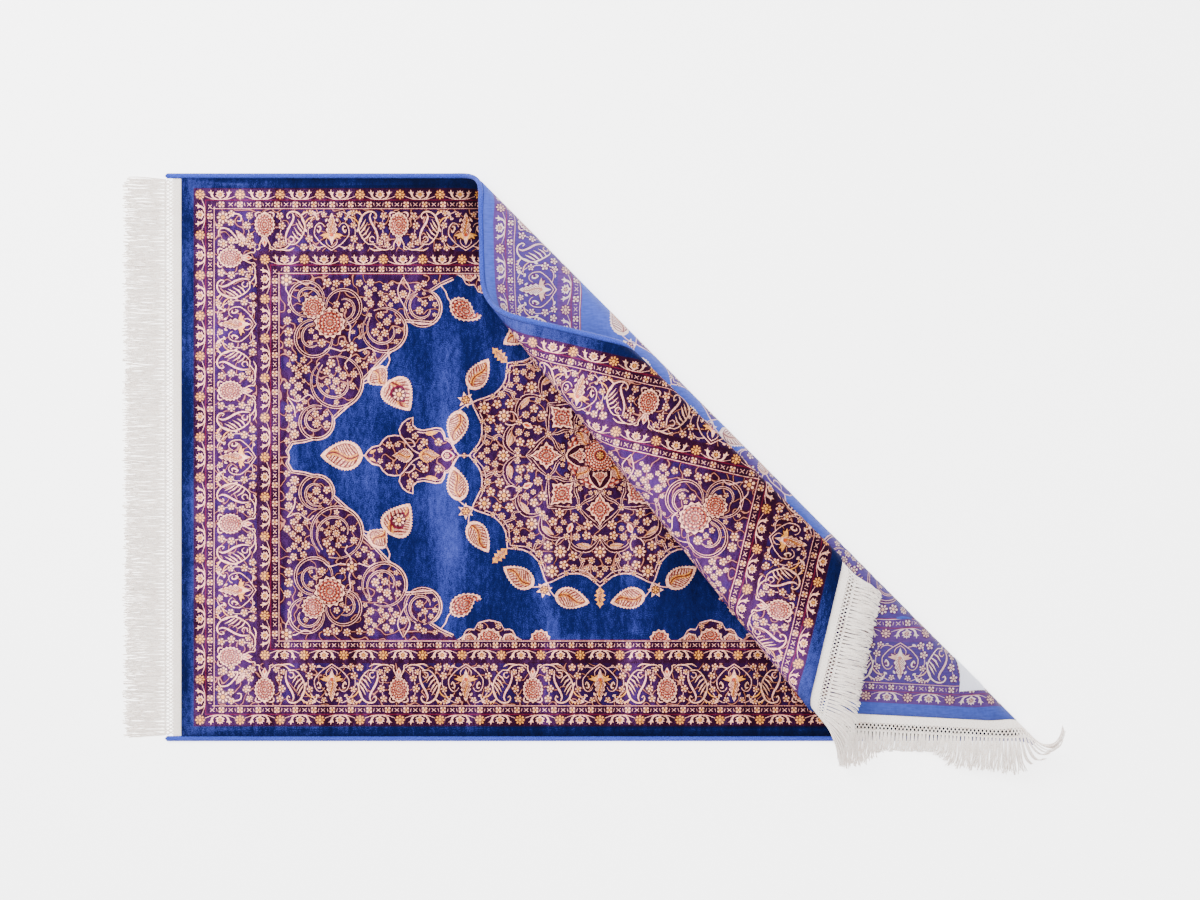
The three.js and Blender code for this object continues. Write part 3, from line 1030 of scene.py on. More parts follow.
@dataclass(frozen=True)
class Spandrel:
    """A corner of the field: scrolls and palmettes on plum, lobed towards the blue."""

    half: Point
    lobes: tuple[tuple[float, float, float], ...] = (
        (-317, 267, 34), (-386, 228, 41), (-471, 135, 48), (-507, 63, 32),
    )
    clover: tuple[tuple[float, float, float], ...] = ((-525, 283, 31), (-459, 269, 31), (-512, 213, 33))

    def outline(self) -> np.ndarray:
        """The corner's edge, from the long side to the end, with an arc for each lobe.

        Returns:
            Its points.
        """
        spans = ((62, -58), (20, -72), (2, -62), (10, -100))
        points = [(-256, self.half[1]), (-262, 318), (-284, 308)]
        for (u, v, radius), (first, last) in zip(self.lobes, spans):
            points += [tuple(polar(radius, angle) + (u, v)) for angle in np.linspace(first, last, 9)]
        points += [(-528, 27), (-550, 24), (-558, 10), (-556, 0)]
        points += [(-self.half[0], 0), (-self.half[0], self.half[1])]
        return np.array(points)

    def scroll(self, centre: Point, radius: float, opening: float) -> list[Shape]:
        """A circle of two lines, with a curled leaf that follows it inside.

        Args:
            centre: its middle.
            radius: its radius.
            opening: the angle at which it starts and ends.

        Returns:
            The shapes, the lowest first.
        """
        arc = [(1, angle) for angle in opening + np.linspace(12, 348, 14)]
        curl = list(zip(np.linspace(0.86, 0.42, 8), opening + np.linspace(10, 250, 8)))
        outer, inner = ([tuple(polar(radius * share, angle) + centre) for share, angle in line]
                        for line in (arc, curl))
        return [*twin(outer, 5.2, 2), *twin(inner, 4.2, 2)]

    def palmette(self, radius: float) -> list[Shape]:
        """A large serrated palmette that opens towards +V.

        Args:
            radius: its size.

        Returns:
            The shapes, the lowest first.
        """
        layers = ((1.24, 26, 0.14, Dye.SHADE, PLAIN), (1.14, 26, 0.16, Dye.CREAM, PLAIN),
                  (0.94, 20, 0, Dye.LACE, -4))
        return [Shape(ring(share * radius, count, depth, 90) + (0, radius), dye, fill)
                for share, count, depth, dye, fill in layers]

    def stems(self, node: Point) -> list[Shape]:
        """The short stems that join the scrolls.

        Args:
            node: where those in the middle meet.

        Returns:
            The shapes, the lowest first.
        """
        joints = ([(-561, 317), (-545, 318), (-528, 309), (-516, 314)],
                  [(-561, 317), (-562, 300), (-553, 284), (-558, 272)])
        spokes = ([(-449, 215), (-446, 234), (-455, 246)], [(-464, 190), (-483, 196), (-494, 188)],
                  [(-431, 190), (-414, 196), (-402, 189)], [(-446, 180), (-456, 168), (-452, 158)])
        tendrils = (
            ([(-352, 322), (-362, 300), (-356, 280), (-345, 262)], Dye.PINK),
            ([(-352, 322), (-340, 300), (-346, 284)], Dye.CREAM),
            ([(-560, 108), (-540, 100), (-522, 112), (-512, 104)], Dye.PINK),
            ([(-560, 108), (-548, 90), (-545, 72)], Dye.CREAM),
        )
        return [
            *[vine(line, 1.8) for line in joints],
            vine([(-500, 262), (-486, 250), (-476, 238)], 2.4, Dye.CREAM),
            *[vine([node, *line], 2.0) for line in spokes],
            *[vine(line, 2.0, dye, 0.5, 0.8, 3) for line, dye in tendrils],
        ]

    def draw(self) -> list[Shape]:
        """The upper left corner, to be mirrored into the others.

        Returns:
            The shapes, the lowest first.
        """
        outline = self.outline()
        node = (-444, 196)
        shapes = []
        for (u, v, radius), opening in zip(self.clover, (-45, 215, 45)):
            shapes += self.scroll((u, v), radius, opening)
        for (u, v, radius), opening in zip(self.lobes, (100, 130, 120, 60)):
            shapes += self.scroll((u, v), radius - 2, opening)
        shapes += [
            *self.stems(node),
            *placed(rosette(9.5), (-561, 317)),
            *placed(rosette(9.5), node),
            *placed(self.palmette(25), (-500, 259), 222),
            *placed(self.palmette(19), (-500, 254), 42),
        ]
        small = filled_with_flowers(inset(outline, 6), shapes, 19.5, 11)
        edges = [vine([tuple(p) for p in line[1:-2]], width, dye, steps=1)
                 for line, width, dye in ((outline, 2.2, Dye.PINK), (inset(outline, 4.2), 1.1, Dye.CREAM))]
        return [Shape(outline, Dye.GROUND), *small, *shapes, *edges]

    def hangers(self) -> list[Shape]:
        """The leaves that hang from the corner over the blue field.

        Returns:
            The shapes, the lowest first.
        """
        paisley = [
            (0, 0), (9, 4), (17, 13), (20, 24), (18, 36), (12, 47), (4, 57), (-4, 62), (-12, 60), (-11, 56),
            (-5, 56), (-6, 51), (-12, 42), (-18, 32), (-20, 20), (-15, 8), (-7, 1),
        ]
        body = smooth(paisley, 3, closed=True)
        rim = np.array([p if i % 2 else q for i, (p, q) in enumerate(zip(body, inset(body, 2.4)))])
        heart = almond(66, 60, 15, 3.2, 0.62)
        hearts = [Shape(heart, Dye.CREAM), Shape(scaled(heart, 0.84, (0, 28)), Dye.LACE, VEINS),
                  Shape(scaled(heart, 0.5, (0, 30)), Dye.WINE), Shape(ring(13, 12) + (0, 31), Dye.CREAM, 8)]
        leaf = [Shape(rim, Dye.CREAM), Shape(scaled(body, 0.84, (0, 26)), Dye.RUSSET, -4)]
        return [
            vine([(-284, 306), (-276, 296), (-272, 284), (-265, 276)], 2.2, Dye.PINK, 0.6),
            *placed(leaf, (-268, 279), -124),
            vine([(-380, 187), (-376, 174), (-382, 160)], 2.0),
            vine([(-423, 132), (-410, 136), (-398, 134)], 2.0),
            *placed(toothed_leaf(44, 44, 9, 1.6), (-380, 126), 42),
            *placed(hearts, (-377, 138), 214),
        ]


@dataclass(frozen=True)
class EdgeOrnament:
    """The half cartouches that stand on the long sides of the field."""

    edge: float
    at: float = -198.0

    def draw(self) -> list[Shape]:
        """The upper left one, and the half palmette beside it.

        Returns:
            The shapes, the lowest first.
        """
        half = [(-58, 0), (-48, -6), (-42, -17), (-36, -20), (-27, -19), (-20, -31), (-10, -34), (0, -36)]
        whole = np.array(half + [(-u, v) for u, v in half[-2::-1]]) + (self.at, self.edge)
        shapes = [Shape(whole, Dye.PINK), Shape(whole + (0, 2.2), Dye.GROUND)]
        leaf = ring(14, 14, 0.14, 180, 0.9)
        halves = (
            (0, ring(23, 26, 0.14, 180, 0.95), 0.84, Dye.LACE, -4),
            (-36, leaf, 0.76, Dye.RUSSET, -3),
            (36, leaf, 0.76, Dye.RUSSET, -3),
            (91, ring(19, 22, 0.16, 180), 0.82, Dye.LACE, -3),
        )
        for beside, outline, share, dye, rows in halves:
            lower = outline[outline[:, 1] <= 0.1]
            motif = [Shape(lower, Dye.CREAM), Shape(lower * share, dye, rows)]
            shapes += placed(motif, (self.at + beside, self.edge))
        for beside in (-16, 16):
            shapes += placed(rosette(4.6, 6), (self.at + beside, self.edge - 24))
        return shapes


@dataclass(frozen=True)
class Cartoon:
    """The whole design, from the margin inwards, each shape over those before it.

    Every border is given by how far its middle lies in from the outer one's.
    """

    outer: Point = (715.5, 470.0)
    guard: float = 17.8
    main: float = 64.0
    inner: float = 116.0
    inner_guard: float = 133.8
    blue: float = 143.4

    def at(self, inwards: float) -> Point:
        """Half the length and width of the design a distance in from the outer border's middle."""
        return self.outer[0] - inwards, self.outer[1] - inwards

    def panel(self, inwards: float, dye: Dye) -> Shape:
        """A rectangle of one dye, a distance in from the outer border's middle."""
        u, v = self.at(inwards)
        return Shape(np.array([(-u, -v), (u, -v), (u, v), (-u, v)]), dye)

    def draw(self) -> list[Shape]:
        """Draws every part in turn.

        Returns:
            The shapes, the lowest first.
        """
        bands = [
            (-11.5, Dye.PLUM), (9, Dye.WINE), (10.8, Dye.PLUM), (25, Dye.WINE), (26.6, Dye.GROUND),
            (101.5, Dye.PLUM), (125, Dye.WINE), (127, Dye.PLUM), (140.6, Dye.WINE), (self.blue, Dye.FIELD),
        ]
        blue = self.at(self.blue)
        spandrel = Spandrel(blue)
        return [
            *[self.panel(inwards, dye) for inwards, dye in bands],
            *in_all_quarters(spandrel.draw()),
            *in_all_quarters(spandrel.hangers()),
            *in_all_quarters(EdgeOrnament(blue[1]).draw()),
            *Medallion().draw(),
            *MinorBorder(self.outer, (20, 13)).draw(),
            *Guard(self.at(self.guard), (21, 13)).draw(),
            *MainBorder(self.at(self.main), (120, 119)).draw(),
            *MinorBorder(self.at(self.inner), (17, 10)).draw(),
            *Guard(self.at(self.inner_guard), (17, 10)).draw(),
        ]


@dataclass(frozen=True)
class Bend:
    """A fold, which bends the cloth round a straight line of the flat rug.

    The cloth runs into it at an angle from +U, and its middle lies at an offset from the
    rug's centre that way. It closes over the pile where side is 1 and over the back
    where it is -1.
    """

    angle: float
    offset: float
    radius: float
    turn: float
    side: int

    @property
    def across(self) -> np.ndarray:
        """The way that the cloth runs into the fold."""
        return polar(1, self.angle)

    @property
    def along(self) -> np.ndarray:
        """The way that the fold's own line runs."""
        return polar(1, self.angle + 90)

    @property
    def half(self) -> float:
        """Half the cloth that the bend takes."""
        return self.radius * math.radians(self.turn) / 2

    def carry(self, flat: np.ndarray, points: np.ndarray, ways: np.ndarray) -> tuple[np.ndarray, np.ndarray]:
        """Turns points and directions round the fold.

        Args:
            flat: where the points lie in the flat rug.
            points: where the outer folds have left them.
            ways: a direction at each point.

        Returns:
            The points and the directions behind this fold.
        """
        run = flat @ self.across - self.offset
        turned = np.clip((run + self.half) / self.radius, 0, math.radians(self.turn))
        reach, beside = points[:, :2] @ self.across, points[:, :2] @ self.along
        past = np.where(run > self.half, reach - self.offset - self.half, 0)
        arm = self.radius - self.side * points[:, 2]
        bent = self.offset - self.half + arm * np.sin(turned) + past * np.cos(turned)
        height = self.side * (self.radius - arm * np.cos(turned) + past * np.sin(turned))
        moved = run > -self.half
        bent = self.joined(np.where(moved, bent, reach), beside, np.where(moved, height, points[:, 2]))
        ahead, aside = ways[:, :2] @ self.across, ways[:, :2] @ self.along
        up = ways[:, 2]
        return bent, self.joined(ahead * np.cos(turned) - self.side * up * np.sin(turned), aside,
                                 self.side * ahead * np.sin(turned) + up * np.cos(turned))

    def joined(self, reach: np.ndarray, beside: np.ndarray, height: np.ndarray) -> np.ndarray:
        """Points from their distances across and along the fold, and their heights."""
        level = reach[:, None] * self.across + beside[:, None] * self.along
        return np.column_stack([level, height])


# The rim of the pile and of the back: how far out of the visible face's edge a line runs
# round it, how high it lies, and how far the surface has turned outwards there.
PILE_RIM = ((0.0, 4.0, 35), (1.3, 3.2, 60), (2.0, 1.6, 90), (2.0, -1.9, 90))
BACK_RIM = ((0.0, 4.0, 30), (1.4, 3.7, 60), (2.0, 3.1, 90), (2.0, 2.1, 90))

BENDS = (
    Bend(44.8, 210.5, 27, 194, 1),
    Bend(51.5, 415, 40.3, 194, -1),
    Bend(58.4, 594, 17, 170, -1),
    Bend(58.4, 766, 15, 170, -1),
)

# Painted sheen: bands of painted highlight across the rug where packing has laid the pile over, with how far along the
# rug they lie, how wide and how bright they are, and where they fade.
PAINTED_SHEEN_BANDS = (
    (-665, 52, 0.42, -700, 700), (-555, 9, 0.35, -700, 700), (-408, 15, 0.22, -700, 290),
    (-274, 22, 0.5, -420, 330), (-98, 15, 0.42, -700, 10), (57, 18, 0.42, -700, 10),
    (242, 16, 0.28, -700, -60),
)

# Which way the tips of the folded end's locks point, by their place across the rug.
HANGS = (
    (-500, 0.1, 0.9, -0.35), (-465, 0.6, 0.45, -0.65), (-435, 0.15, -0.8, -0.6), (-345, -0.1, -0.75, -0.7),
    (-310, 0, 0.15, -1), (-215, 0, 0.15, -1), (-165, 0.1, -0.85, -0.6), (-66, 0.15, -0.85, -0.8),
    (-20, 0.5, -0.6, -0.8), (21, 0.5, -0.25, -0.9), (150, 0.3, -0.25, -0.9), (206, 0.2, -0.45, -0.9),
    (235, 0.1, -0.8, -0.5), (265, 0.2, -0.95, -0.25), (415, 0.3, -0.9, -0.05), (436, 0.75, -0.5, 0.05),
    (452, 0.95, 0.15, 0.1), (500, 0.8, 0.5, 0.15),
)


def painted_sheen_and_shade(places: np.ndarray) -> np.ndarray:
    """Painted sheen and shade on the pile, by place in the flat rug.

    Args:
        places: where in the flat rug, a row each.

    Returns:
        For each place, up to 1 where the painted sheen is brightest and below 0 where the painted shade is darkest.
    """
    u, v = places[:, 0], places[:, 1]
    in_margin = (np.abs(u) > 727) | (np.abs(v) > 482)
    # lean holds the painted light: lighter towards -U, fading towards +U, and a little darker over the margin
    lean = 0.12 - 0.0003 * (u + 400) - 0.16 * in_margin
    # Painted sheen in bands across the rug, where packing has laid the pile over
    for middle, width, bright, low, high in PAINTED_SHEEN_BANDS:
        inside = np.clip((v - low) / 130, 0, 1) * np.clip((high - v) / 130, 0, 1)
        wander = 5 * np.sin(v / 61) + 3 * np.sin(v / 23 + middle)
        lean = lean + bright * inside * np.exp(-((u - middle - wander) / width) ** 2)
    first, second = BENDS[:2]
    # Painted shade on the first fold's roll and on the flat pile beside it
    run = places @ first.across - first.offset
    lean = lean - 0.75 * np.exp(-np.clip(-first.half - run, 0, 999) / 55) * (run < first.half)
    # Past the second fold, on the flap: a painted highlight along its curve and painted shade towards the next fold
    past = places @ second.across - second.offset
    flap = past > -second.half - 20
    glow = 0.8 * np.exp(-((past - 35) / 60) ** 2) - 0.3 * np.clip((past - 110) / 60, 0, 1)
    return np.where(flap, glow, lean)


def folded(points: np.ndarray, ways: np.ndarray | tuple = (0.0, 0.0, 1.0)) -> tuple[np.ndarray, np.ndarray]:
    """Where points of the flat rug lie once it is folded.

    Args:
        points: U, V and the height over the middle surface, a row each.
        ways: a direction at each point, such as a normal, or one for all.

    Returns:
        The points, in millimetres over the floor, and the turned directions.
    """
    points = np.asarray(points, float)
    ways = np.broadcast_to(np.asarray(ways, float), points.shape)
    flat = points[:, :2].copy()
    for bend in reversed(BENDS):
        points, ways = bend.carry(flat, points, ways)
    return points + (0, 0, THICKNESS / 2), ways


def raised(level: np.ndarray, height: float) -> np.ndarray:
    """Places of the flat rug at one height."""
    return np.column_stack([level, np.full(len(level), height)])


def quads(rings: int, count: int) -> np.ndarray:
    """The faces between closed rings of points, one after another.

    Args:
        rings: how many rings there are.
        count: how many points each has.

    Returns:
        Four corners a face.
    """
    ring, step = np.meshgrid(np.arange(rings - 1), np.arange(count), indexing="ij")
    a, b = (ring * count + step).ravel(), (ring * count + (step + 1) % count).ravel()
    return np.column_stack([a, b, b + count, a + count])


@dataclass
class Shell:
    """Points and faces of one piece, gathered part by part before it becomes a mesh."""

    points: list[np.ndarray] = field(default_factory=list)
    normals: list[np.ndarray] = field(default_factory=list)
    flats: list[np.ndarray] = field(default_factory=list)
    faces: list[np.ndarray] = field(default_factory=list)
    tints: list[np.ndarray] = field(default_factory=list)
    bakes: list[np.ndarray] = field(default_factory=list)
    figures: np.ndarray | None = None

    def add(self, points: np.ndarray, normals: np.ndarray, flats: np.ndarray, faces: np.ndarray,
            tint: np.ndarray | tuple[float, ...] = (1, 1, 1, 1), bakes: np.ndarray | None = None) -> None:
        """Adds a part.

        Args:
            points: its points, in millimetres over the floor.
            normals: which way the surface faces at each.
            flats: the place of each in the flat rug.
            faces: three or four corners a face.
            tint: one colour for the part, or a row for each face.
            bakes: the place of each point on the piece's own colour map.
        """
        start = sum(len(p) for p in self.points)
        self.points.append(points)
        self.normals.append(normals)
        self.flats.append(flats[:, :2])
        self.cover(faces + start, tint)
        if bakes is not None:
            self.bakes.append(bakes)

    def cover(self, faces: np.ndarray, tint: np.ndarray | tuple[float, ...] = (1, 1, 1, 1)) -> None:
        """Adds faces between points that are there already, in one colour or a row for each."""
        self.faces.append(faces)
        self.tints.append(np.broadcast_to(np.asarray(tint, float), (len(faces), 4)))

    def made(self, name: str, shift: np.ndarray) -> bpy.types.Object:
        """Makes the piece, with points that lie on one another joined.

        Args:
            name: its name.
            shift: where the flat rug's centre lies in the part's own frame.

        Returns:
            The new object.
        """
        corners = np.concatenate([part.ravel() for part in self.faces])
        sizes = np.concatenate([np.full(len(part), part.shape[1]) for part in self.faces])
        points = (np.vstack(self.points) + shift) * MM
        _, first, joined = np.unique(np.round(points, 6), axis=0, return_index=True, return_inverse=True)
        ends = np.cumsum(sizes)
        loops = joined.ravel()[corners].tolist()
        faces = [loops[end - size:end] for end, size in zip(ends.tolist(), sizes.tolist())]
        mesh = bpy.data.meshes.new(name)
        mesh.from_pydata(points[first].tolist(), [], faces)
        tints = np.repeat(np.vstack(self.tints), sizes, axis=0)
        mesh.color_attributes.new("dye", "FLOAT_COLOR", "CORNER").data.foreach_set("color", tints.ravel())
        if self.figures is not None:
            figures = np.zeros((len(corners), 3))
            figures[:len(self.figures)] = self.figures
            places = mesh.attributes.new("figure", "FLOAT_VECTOR", "CORNER")
            places.data.foreach_set("vector", figures.ravel())
        flats = np.vstack(self.flats)
        mesh.uv_layers.new(name="flat").data.foreach_set("uv", (flats[corners] * MM).ravel())
        # The painted sheen and shade of each point, which the pile's material reads
        mesh.attributes.new("painted_sheen_and_shade", "FLOAT", "POINT").data.foreach_set("value", painted_sheen_and_shade(flats[first]))
        if self.bakes:
            mesh.uv_layers.new(name="OFBake").data.foreach_set("uv", np.vstack(self.bakes)[corners].ravel())
        mesh.shade_smooth()
        normals = np.vstack(self.normals)[corners]
        normals /= np.linalg.norm(normals, axis=1)[:, None] + 1e-9
        mesh.normals_split_custom_set(normals.tolist())
        piece = bpy.data.objects.new(name, mesh)
        bpy.context.collection.objects.link(piece)
        return piece


@dataclass
class Cloth:
    """The pile and the woven back: one partition of the flat rug, drawn in both dyes."""

    shapes: list[Shape]
    inset: float = 2.0
    grid: float = 25.0
    ruling: float = 7.0
    slack: float = 0.25

    def __post_init__(self) -> None:
        """Works out half the size of the visible face."""
        self.edge = np.array([HALF_LENGTH - self.inset, HALF_WIDTH - GAP - self.inset])

    def rulings(self) -> list[tuple[np.ndarray, np.ndarray]]:
        """The lines of every bend, each clipped to the rug.

        Returns:
            The ends of each.
        """
        lines = []
        for bend in BENDS:
            count = max(int(2 * bend.half / self.ruling), 10)
            for run in np.linspace(-bend.half, bend.half, count):
                middle = bend.across * (bend.offset + run)
                t = np.concatenate([(s * self.edge - middle) / bend.along for s in (-1, 1)])
                ends = middle + t[:, None] * bend.along
                ends = ends[(np.abs(ends) <= self.edge + 1e-6).all(1)]
                if len(ends) == 2:
                    lines.append((ends[0], ends[1]))
        return lines

    def partition(self, inner: np.ndarray, edges: np.ndarray, grid: bool) -> tuple[np.ndarray, np.ndarray]:
        """Cuts the flat rug into triangles that respect every line and bend.

        Args:
            inner: points within the rug.
            edges: pairs of them, with a line to respect between each.
            grid: whether a sparse grid of points is added.

        Returns:
            The points and the triangles.
        """
        corners = np.array([(-1, -1), (1, -1), (1, 1), (-1, 1)]) * self.edge
        points = [*inner.tolist(), *corners.tolist()]
        lines = edges.tolist() + [(len(inner) + i, len(inner) + (i + 1) % 4) for i in range(4)]
        for a, b in self.rulings():
            lines.append((len(points), len(points) + 1))
            points += [a.tolist(), b.tolist()]
        if grid:
            for u in np.arange(-self.edge[0] + 11, self.edge[0] - 5, self.grid):
                points += [[u, v] for v in np.arange(-self.edge[1] + 11, self.edge[1] - 5, self.grid)]
        cut = delaunay_2d_cdt([Vector(p) for p in points], lines, [], 0, 0.02, False)
        return np.array([tuple(p) for p in cut[0]]), np.array(cut[2])

    def drawn(self) -> tuple[np.ndarray, np.ndarray, np.ndarray]:
        """The design as triangles of one dye each.

        Returns:
            The points, the triangles, and the number of each triangle's shape.
        """
        outlines = [shape.outline for shape in self.shapes]
        starts = np.cumsum([0] + [len(outline) for outline in outlines])
        rings = [np.arange(len(outline)) for outline in outlines]
        edges = [np.column_stack([ring, np.roll(ring, -1)]) + start for ring, start in zip(rings, starts)]
        points, faces = self.partition(np.vstack(outlines), np.vstack(edges), False)
        # Shapes of one dye run together, but one with a filling stays apart
        dyes = list(Dye)
        parts = np.array([number + 100 if shape.fill else dyes.index(shape.dye)
                          for number, shape in enumerate(self.shapes)] + [0])
        points, faces = self.partition(*self.pruned(points, faces, parts[self.painted(points, faces)]), True)
        return points, faces, self.painted(points, faces)

    def painted(self, points: np.ndarray, faces: np.ndarray) -> np.ndarray:
        """Which shape shows at each triangle.

        Args:
            points: the partition's points.
            faces: its triangles.

        Returns:
            The shape's number, or -1 on the bare margin.
        """
        middles = points[faces].mean(1)
        order = np.argsort(middles[:, 0])
        middles = middles[order]
        found = np.full(len(faces), -1)
        for number, shape in enumerate(self.shapes):
            low, high = shape.outline.min(0), shape.outline.max(0)
            first, last = np.searchsorted(middles[:, 0], (low[0], high[0]))
            v = middles[first:last, 1]
            near = first + np.flatnonzero((v > low[1]) & (v < high[1]))
            found[near[within(middles[near], shape.outline)]] = number
        result = np.empty_like(found)
        result[order] = found
        return result

    def pruned(self, points: np.ndarray, faces: np.ndarray,
               parts: np.ndarray) -> tuple[np.ndarray, np.ndarray]:
        """The lines along which two parts meet, with no more points than they need.

        Args:
            points: the partition's points.
            faces: its triangles.
            parts: the number of each triangle's part.

        Returns:
            The points, and the edges between them.
        """
        sides = np.vstack([faces[:, [0, 1]], faces[:, [1, 2]], faces[:, [2, 0]]])
        low, high = sides.min(1).astype(np.int64), sides.max(1).astype(np.int64)
        key = low * len(points) + high
        order = np.argsort(key, kind="stable")
        same = key[order][1:] == key[order][:-1]
        owner = np.tile(parts, 3)[order]
        first = np.flatnonzero(same & (owner[1:] != owner[:-1]))
        edges = np.column_stack([low[order][first], high[order][first]])
        for _ in range(10):
            count = np.bincount(edges.ravel(), minlength=len(points))
            ends = np.concatenate([edges, edges[:, ::-1]])
            ends = ends[np.argsort(ends[:, 0], kind="stable")]
            start = np.searchsorted(ends[:, 0], np.arange(len(points)))
            loose = np.flatnonzero(count == 2)
            a, b = ends[start[loose], 1], ends[start[loose] + 1, 1]
            line = points[b] - points[a]
            off = points[loose] - points[a]
            twice_area = np.abs(line[:, 0] * off[:, 1] - line[:, 1] * off[:, 0])
            away = twice_area / (np.linalg.norm(line, axis=1) + 1e-9)
            rank = np.zeros(len(points))
            fine = (away < self.slack) & (a != b)
            rank[loose[fine]] = 1 + np.random.default_rng(5).random(fine.sum())
            fine &= (rank[loose] > rank[a]) & (rank[loose] > rank[b])
            gone = np.zeros(len(points), bool)
            gone[loose[fine]] = True
            if not fine.any():
                break
            edges = np.vstack([edges[~gone[edges].any(1)], np.column_stack([a[fine], b[fine]])])
        used, renamed = np.unique(edges, return_inverse=True)
        return points[used], renamed.reshape(-1, 2)

    def rim(self, faces: np.ndarray) -> np.ndarray:
        """The points along the partition's edge, anticlockwise.

        Args:
            faces: its triangles.

        Returns:
            Their numbers.
        """
        sides = np.vstack([faces[:, [0, 1]], faces[:, [1, 2]], faces[:, [2, 0]]])
        known = set(map(tuple, sides.tolist()))
        after = {a: b for a, b in known if (b, a) not in known}
        loop = [min(after)]
        while after[loop[-1]] != loop[0]:
            loop.append(after[loop[-1]])
        return np.array(loop)

    def figures(self, points: np.ndarray, faces: np.ndarray, found: np.ndarray) -> np.ndarray:
        """Where each triangle's corners lie within the motif that they belong to.

        Args:
            points: the partition's points.
            faces: its triangles.
            found: the number of each triangle's shape.

        Returns:
            For each corner, the place from the motif's own frame, and how it is filled.
        """
        frames = [shape.frame() for shape in self.shapes]
        starts = np.array([start for start, _ in frames] + [(0, 0)])[found]
        ways = np.array([way for _, way in frames] + [np.zeros((2, 2))])[found]
        fills = np.array([shape.fill for shape in self.shapes] + [PLAIN])[found]
        local = np.einsum("fci,fij->fcj", points[faces] - starts[:, None], ways)
        return np.concatenate([local, np.broadcast_to(fills[:, None, None], (*faces.shape, 1))], 2)

    def shell(self, points: np.ndarray, faces: np.ndarray, tints: np.ndarray, figures: np.ndarray,
              up: int) -> Shell:
        """One half of the cloth's thickness, closed all round.

        Args:
            points: the partition's points.
            faces: its triangles.
            tints: the dye of each triangle.
            figures: where each triangle's corners lie within their motif.
            up: 1 for the pile and -1 for the woven back.

        Returns:
            The shell, with its colour map laid out as the flat rug.
        """
        rim = self.rim(faces)
        steps = PILE_RIM if up > 0 else BACK_RIM
        edge = points[rim]
        outward = np.where(np.abs(edge) > self.edge - 1e-3, np.sign(edge), 0)
        away = outward / np.linalg.norm(outward, axis=1)[:, None]
        facing = np.tile((0.0, 0.0, float(up)), (len(points), 1))
        facing[rim] = raised(away * 0.5, up * 0.85)
        turned, normals = folded(raised(points, up * steps[0][1]), facing)
        shell = Shell()
        spread = (points + self.edge) / (2 * self.edge)
        shell.add(turned, normals, points, faces[:, ::up], tints, spread * (1, 0.955) + (0, 0.043))
        shell.figures = figures[:, ::up].reshape(-1, 3)
        margin = tints[np.argmin(points[faces].mean(1)[:, 0])]
        self.add_rim(shell, edge, outward, away, steps, up, margin)
        plain, inner = self.partition(np.empty((0, 2)), np.empty((0, 2), int), False)
        beyond = np.where(np.abs(plain) > self.edge - 1e-3, np.sign(plain), 0) * self.inset
        turned, normals = folded(raised(plain + beyond, up * steps[-1][1]), (0.0, 0.0, float(-up)))
        under = (plain + self.edge) / (2 * self.edge) * (1, 0.02)
        shell.add(turned, normals, plain, inner[:, ::-up], margin, under)
        return shell

    def add_rim(self, shell: Shell, edge: np.ndarray, outward: np.ndarray, away: np.ndarray, steps: tuple,
                up: int, margin: np.ndarray) -> None:
        """Adds the rounded wall round the rug.

        Args:
            shell: what it is added to.
            edge: the points along the visible face's edge.
            outward: which way is out at each, as whole steps along U and V.
            away: the same, one unit long.
            steps: the rim's lines.
            up: 1 for the pile and -1 for the woven back.
            margin: the wall's dye.
        """
        count = len(edge)
        ring = np.arange(count)
        seam = np.append(ring, 0)
        wall = np.column_stack([ring, ring + 1, ring + count + 2, ring + count + 1])
        wall = wall[:, ::-1] if up > 0 else wall
        for number, pair in enumerate(zip(steps, steps[1:])):
            level = np.vstack([raised(edge[seam] + outward[seam] * out, up * height)
                               for out, height, _ in pair])
            tilts = [math.radians(tilt) for _, _, tilt in pair]
            ways = np.vstack([raised(away[seam] * math.sin(tilt), up * math.cos(tilt)) for tilt in tilts])
            turned, normals = folded(level, ways)
            share = np.append(ring, count)[:, None] / count
            rows = np.vstack([raised(share, 0.024 + 0.005 * (number + row)) for row in (0, 0.9)])
            shell.add(turned, normals, level, wall, margin, rows)

    def made(self, shift: np.ndarray) -> tuple[bpy.types.Object, bpy.types.Object]:
        """Makes the pile and the woven back.

        Args:
            shift: where the flat rug's centre lies in the part's own frame.

        Returns:
            The two pieces.
        """
        points, faces, found = self.drawn()
        figures = self.figures(points, faces, found)
        dyes = [shape.dye.value for shape in self.shapes] + [Dye.MARGIN.value]
        pieces = []
        for name, face, up in (("pile", Face.PILE, 1), ("woven_back", Face.BACK, -1)):
            colours = np.array([(*linear(dye[face.value])[:3], dye[2]) for dye in dyes])
            pieces.append(self.shell(points, faces, colours[found], figures, up).made(name, shift))
        return pieces[0], pieces[1]


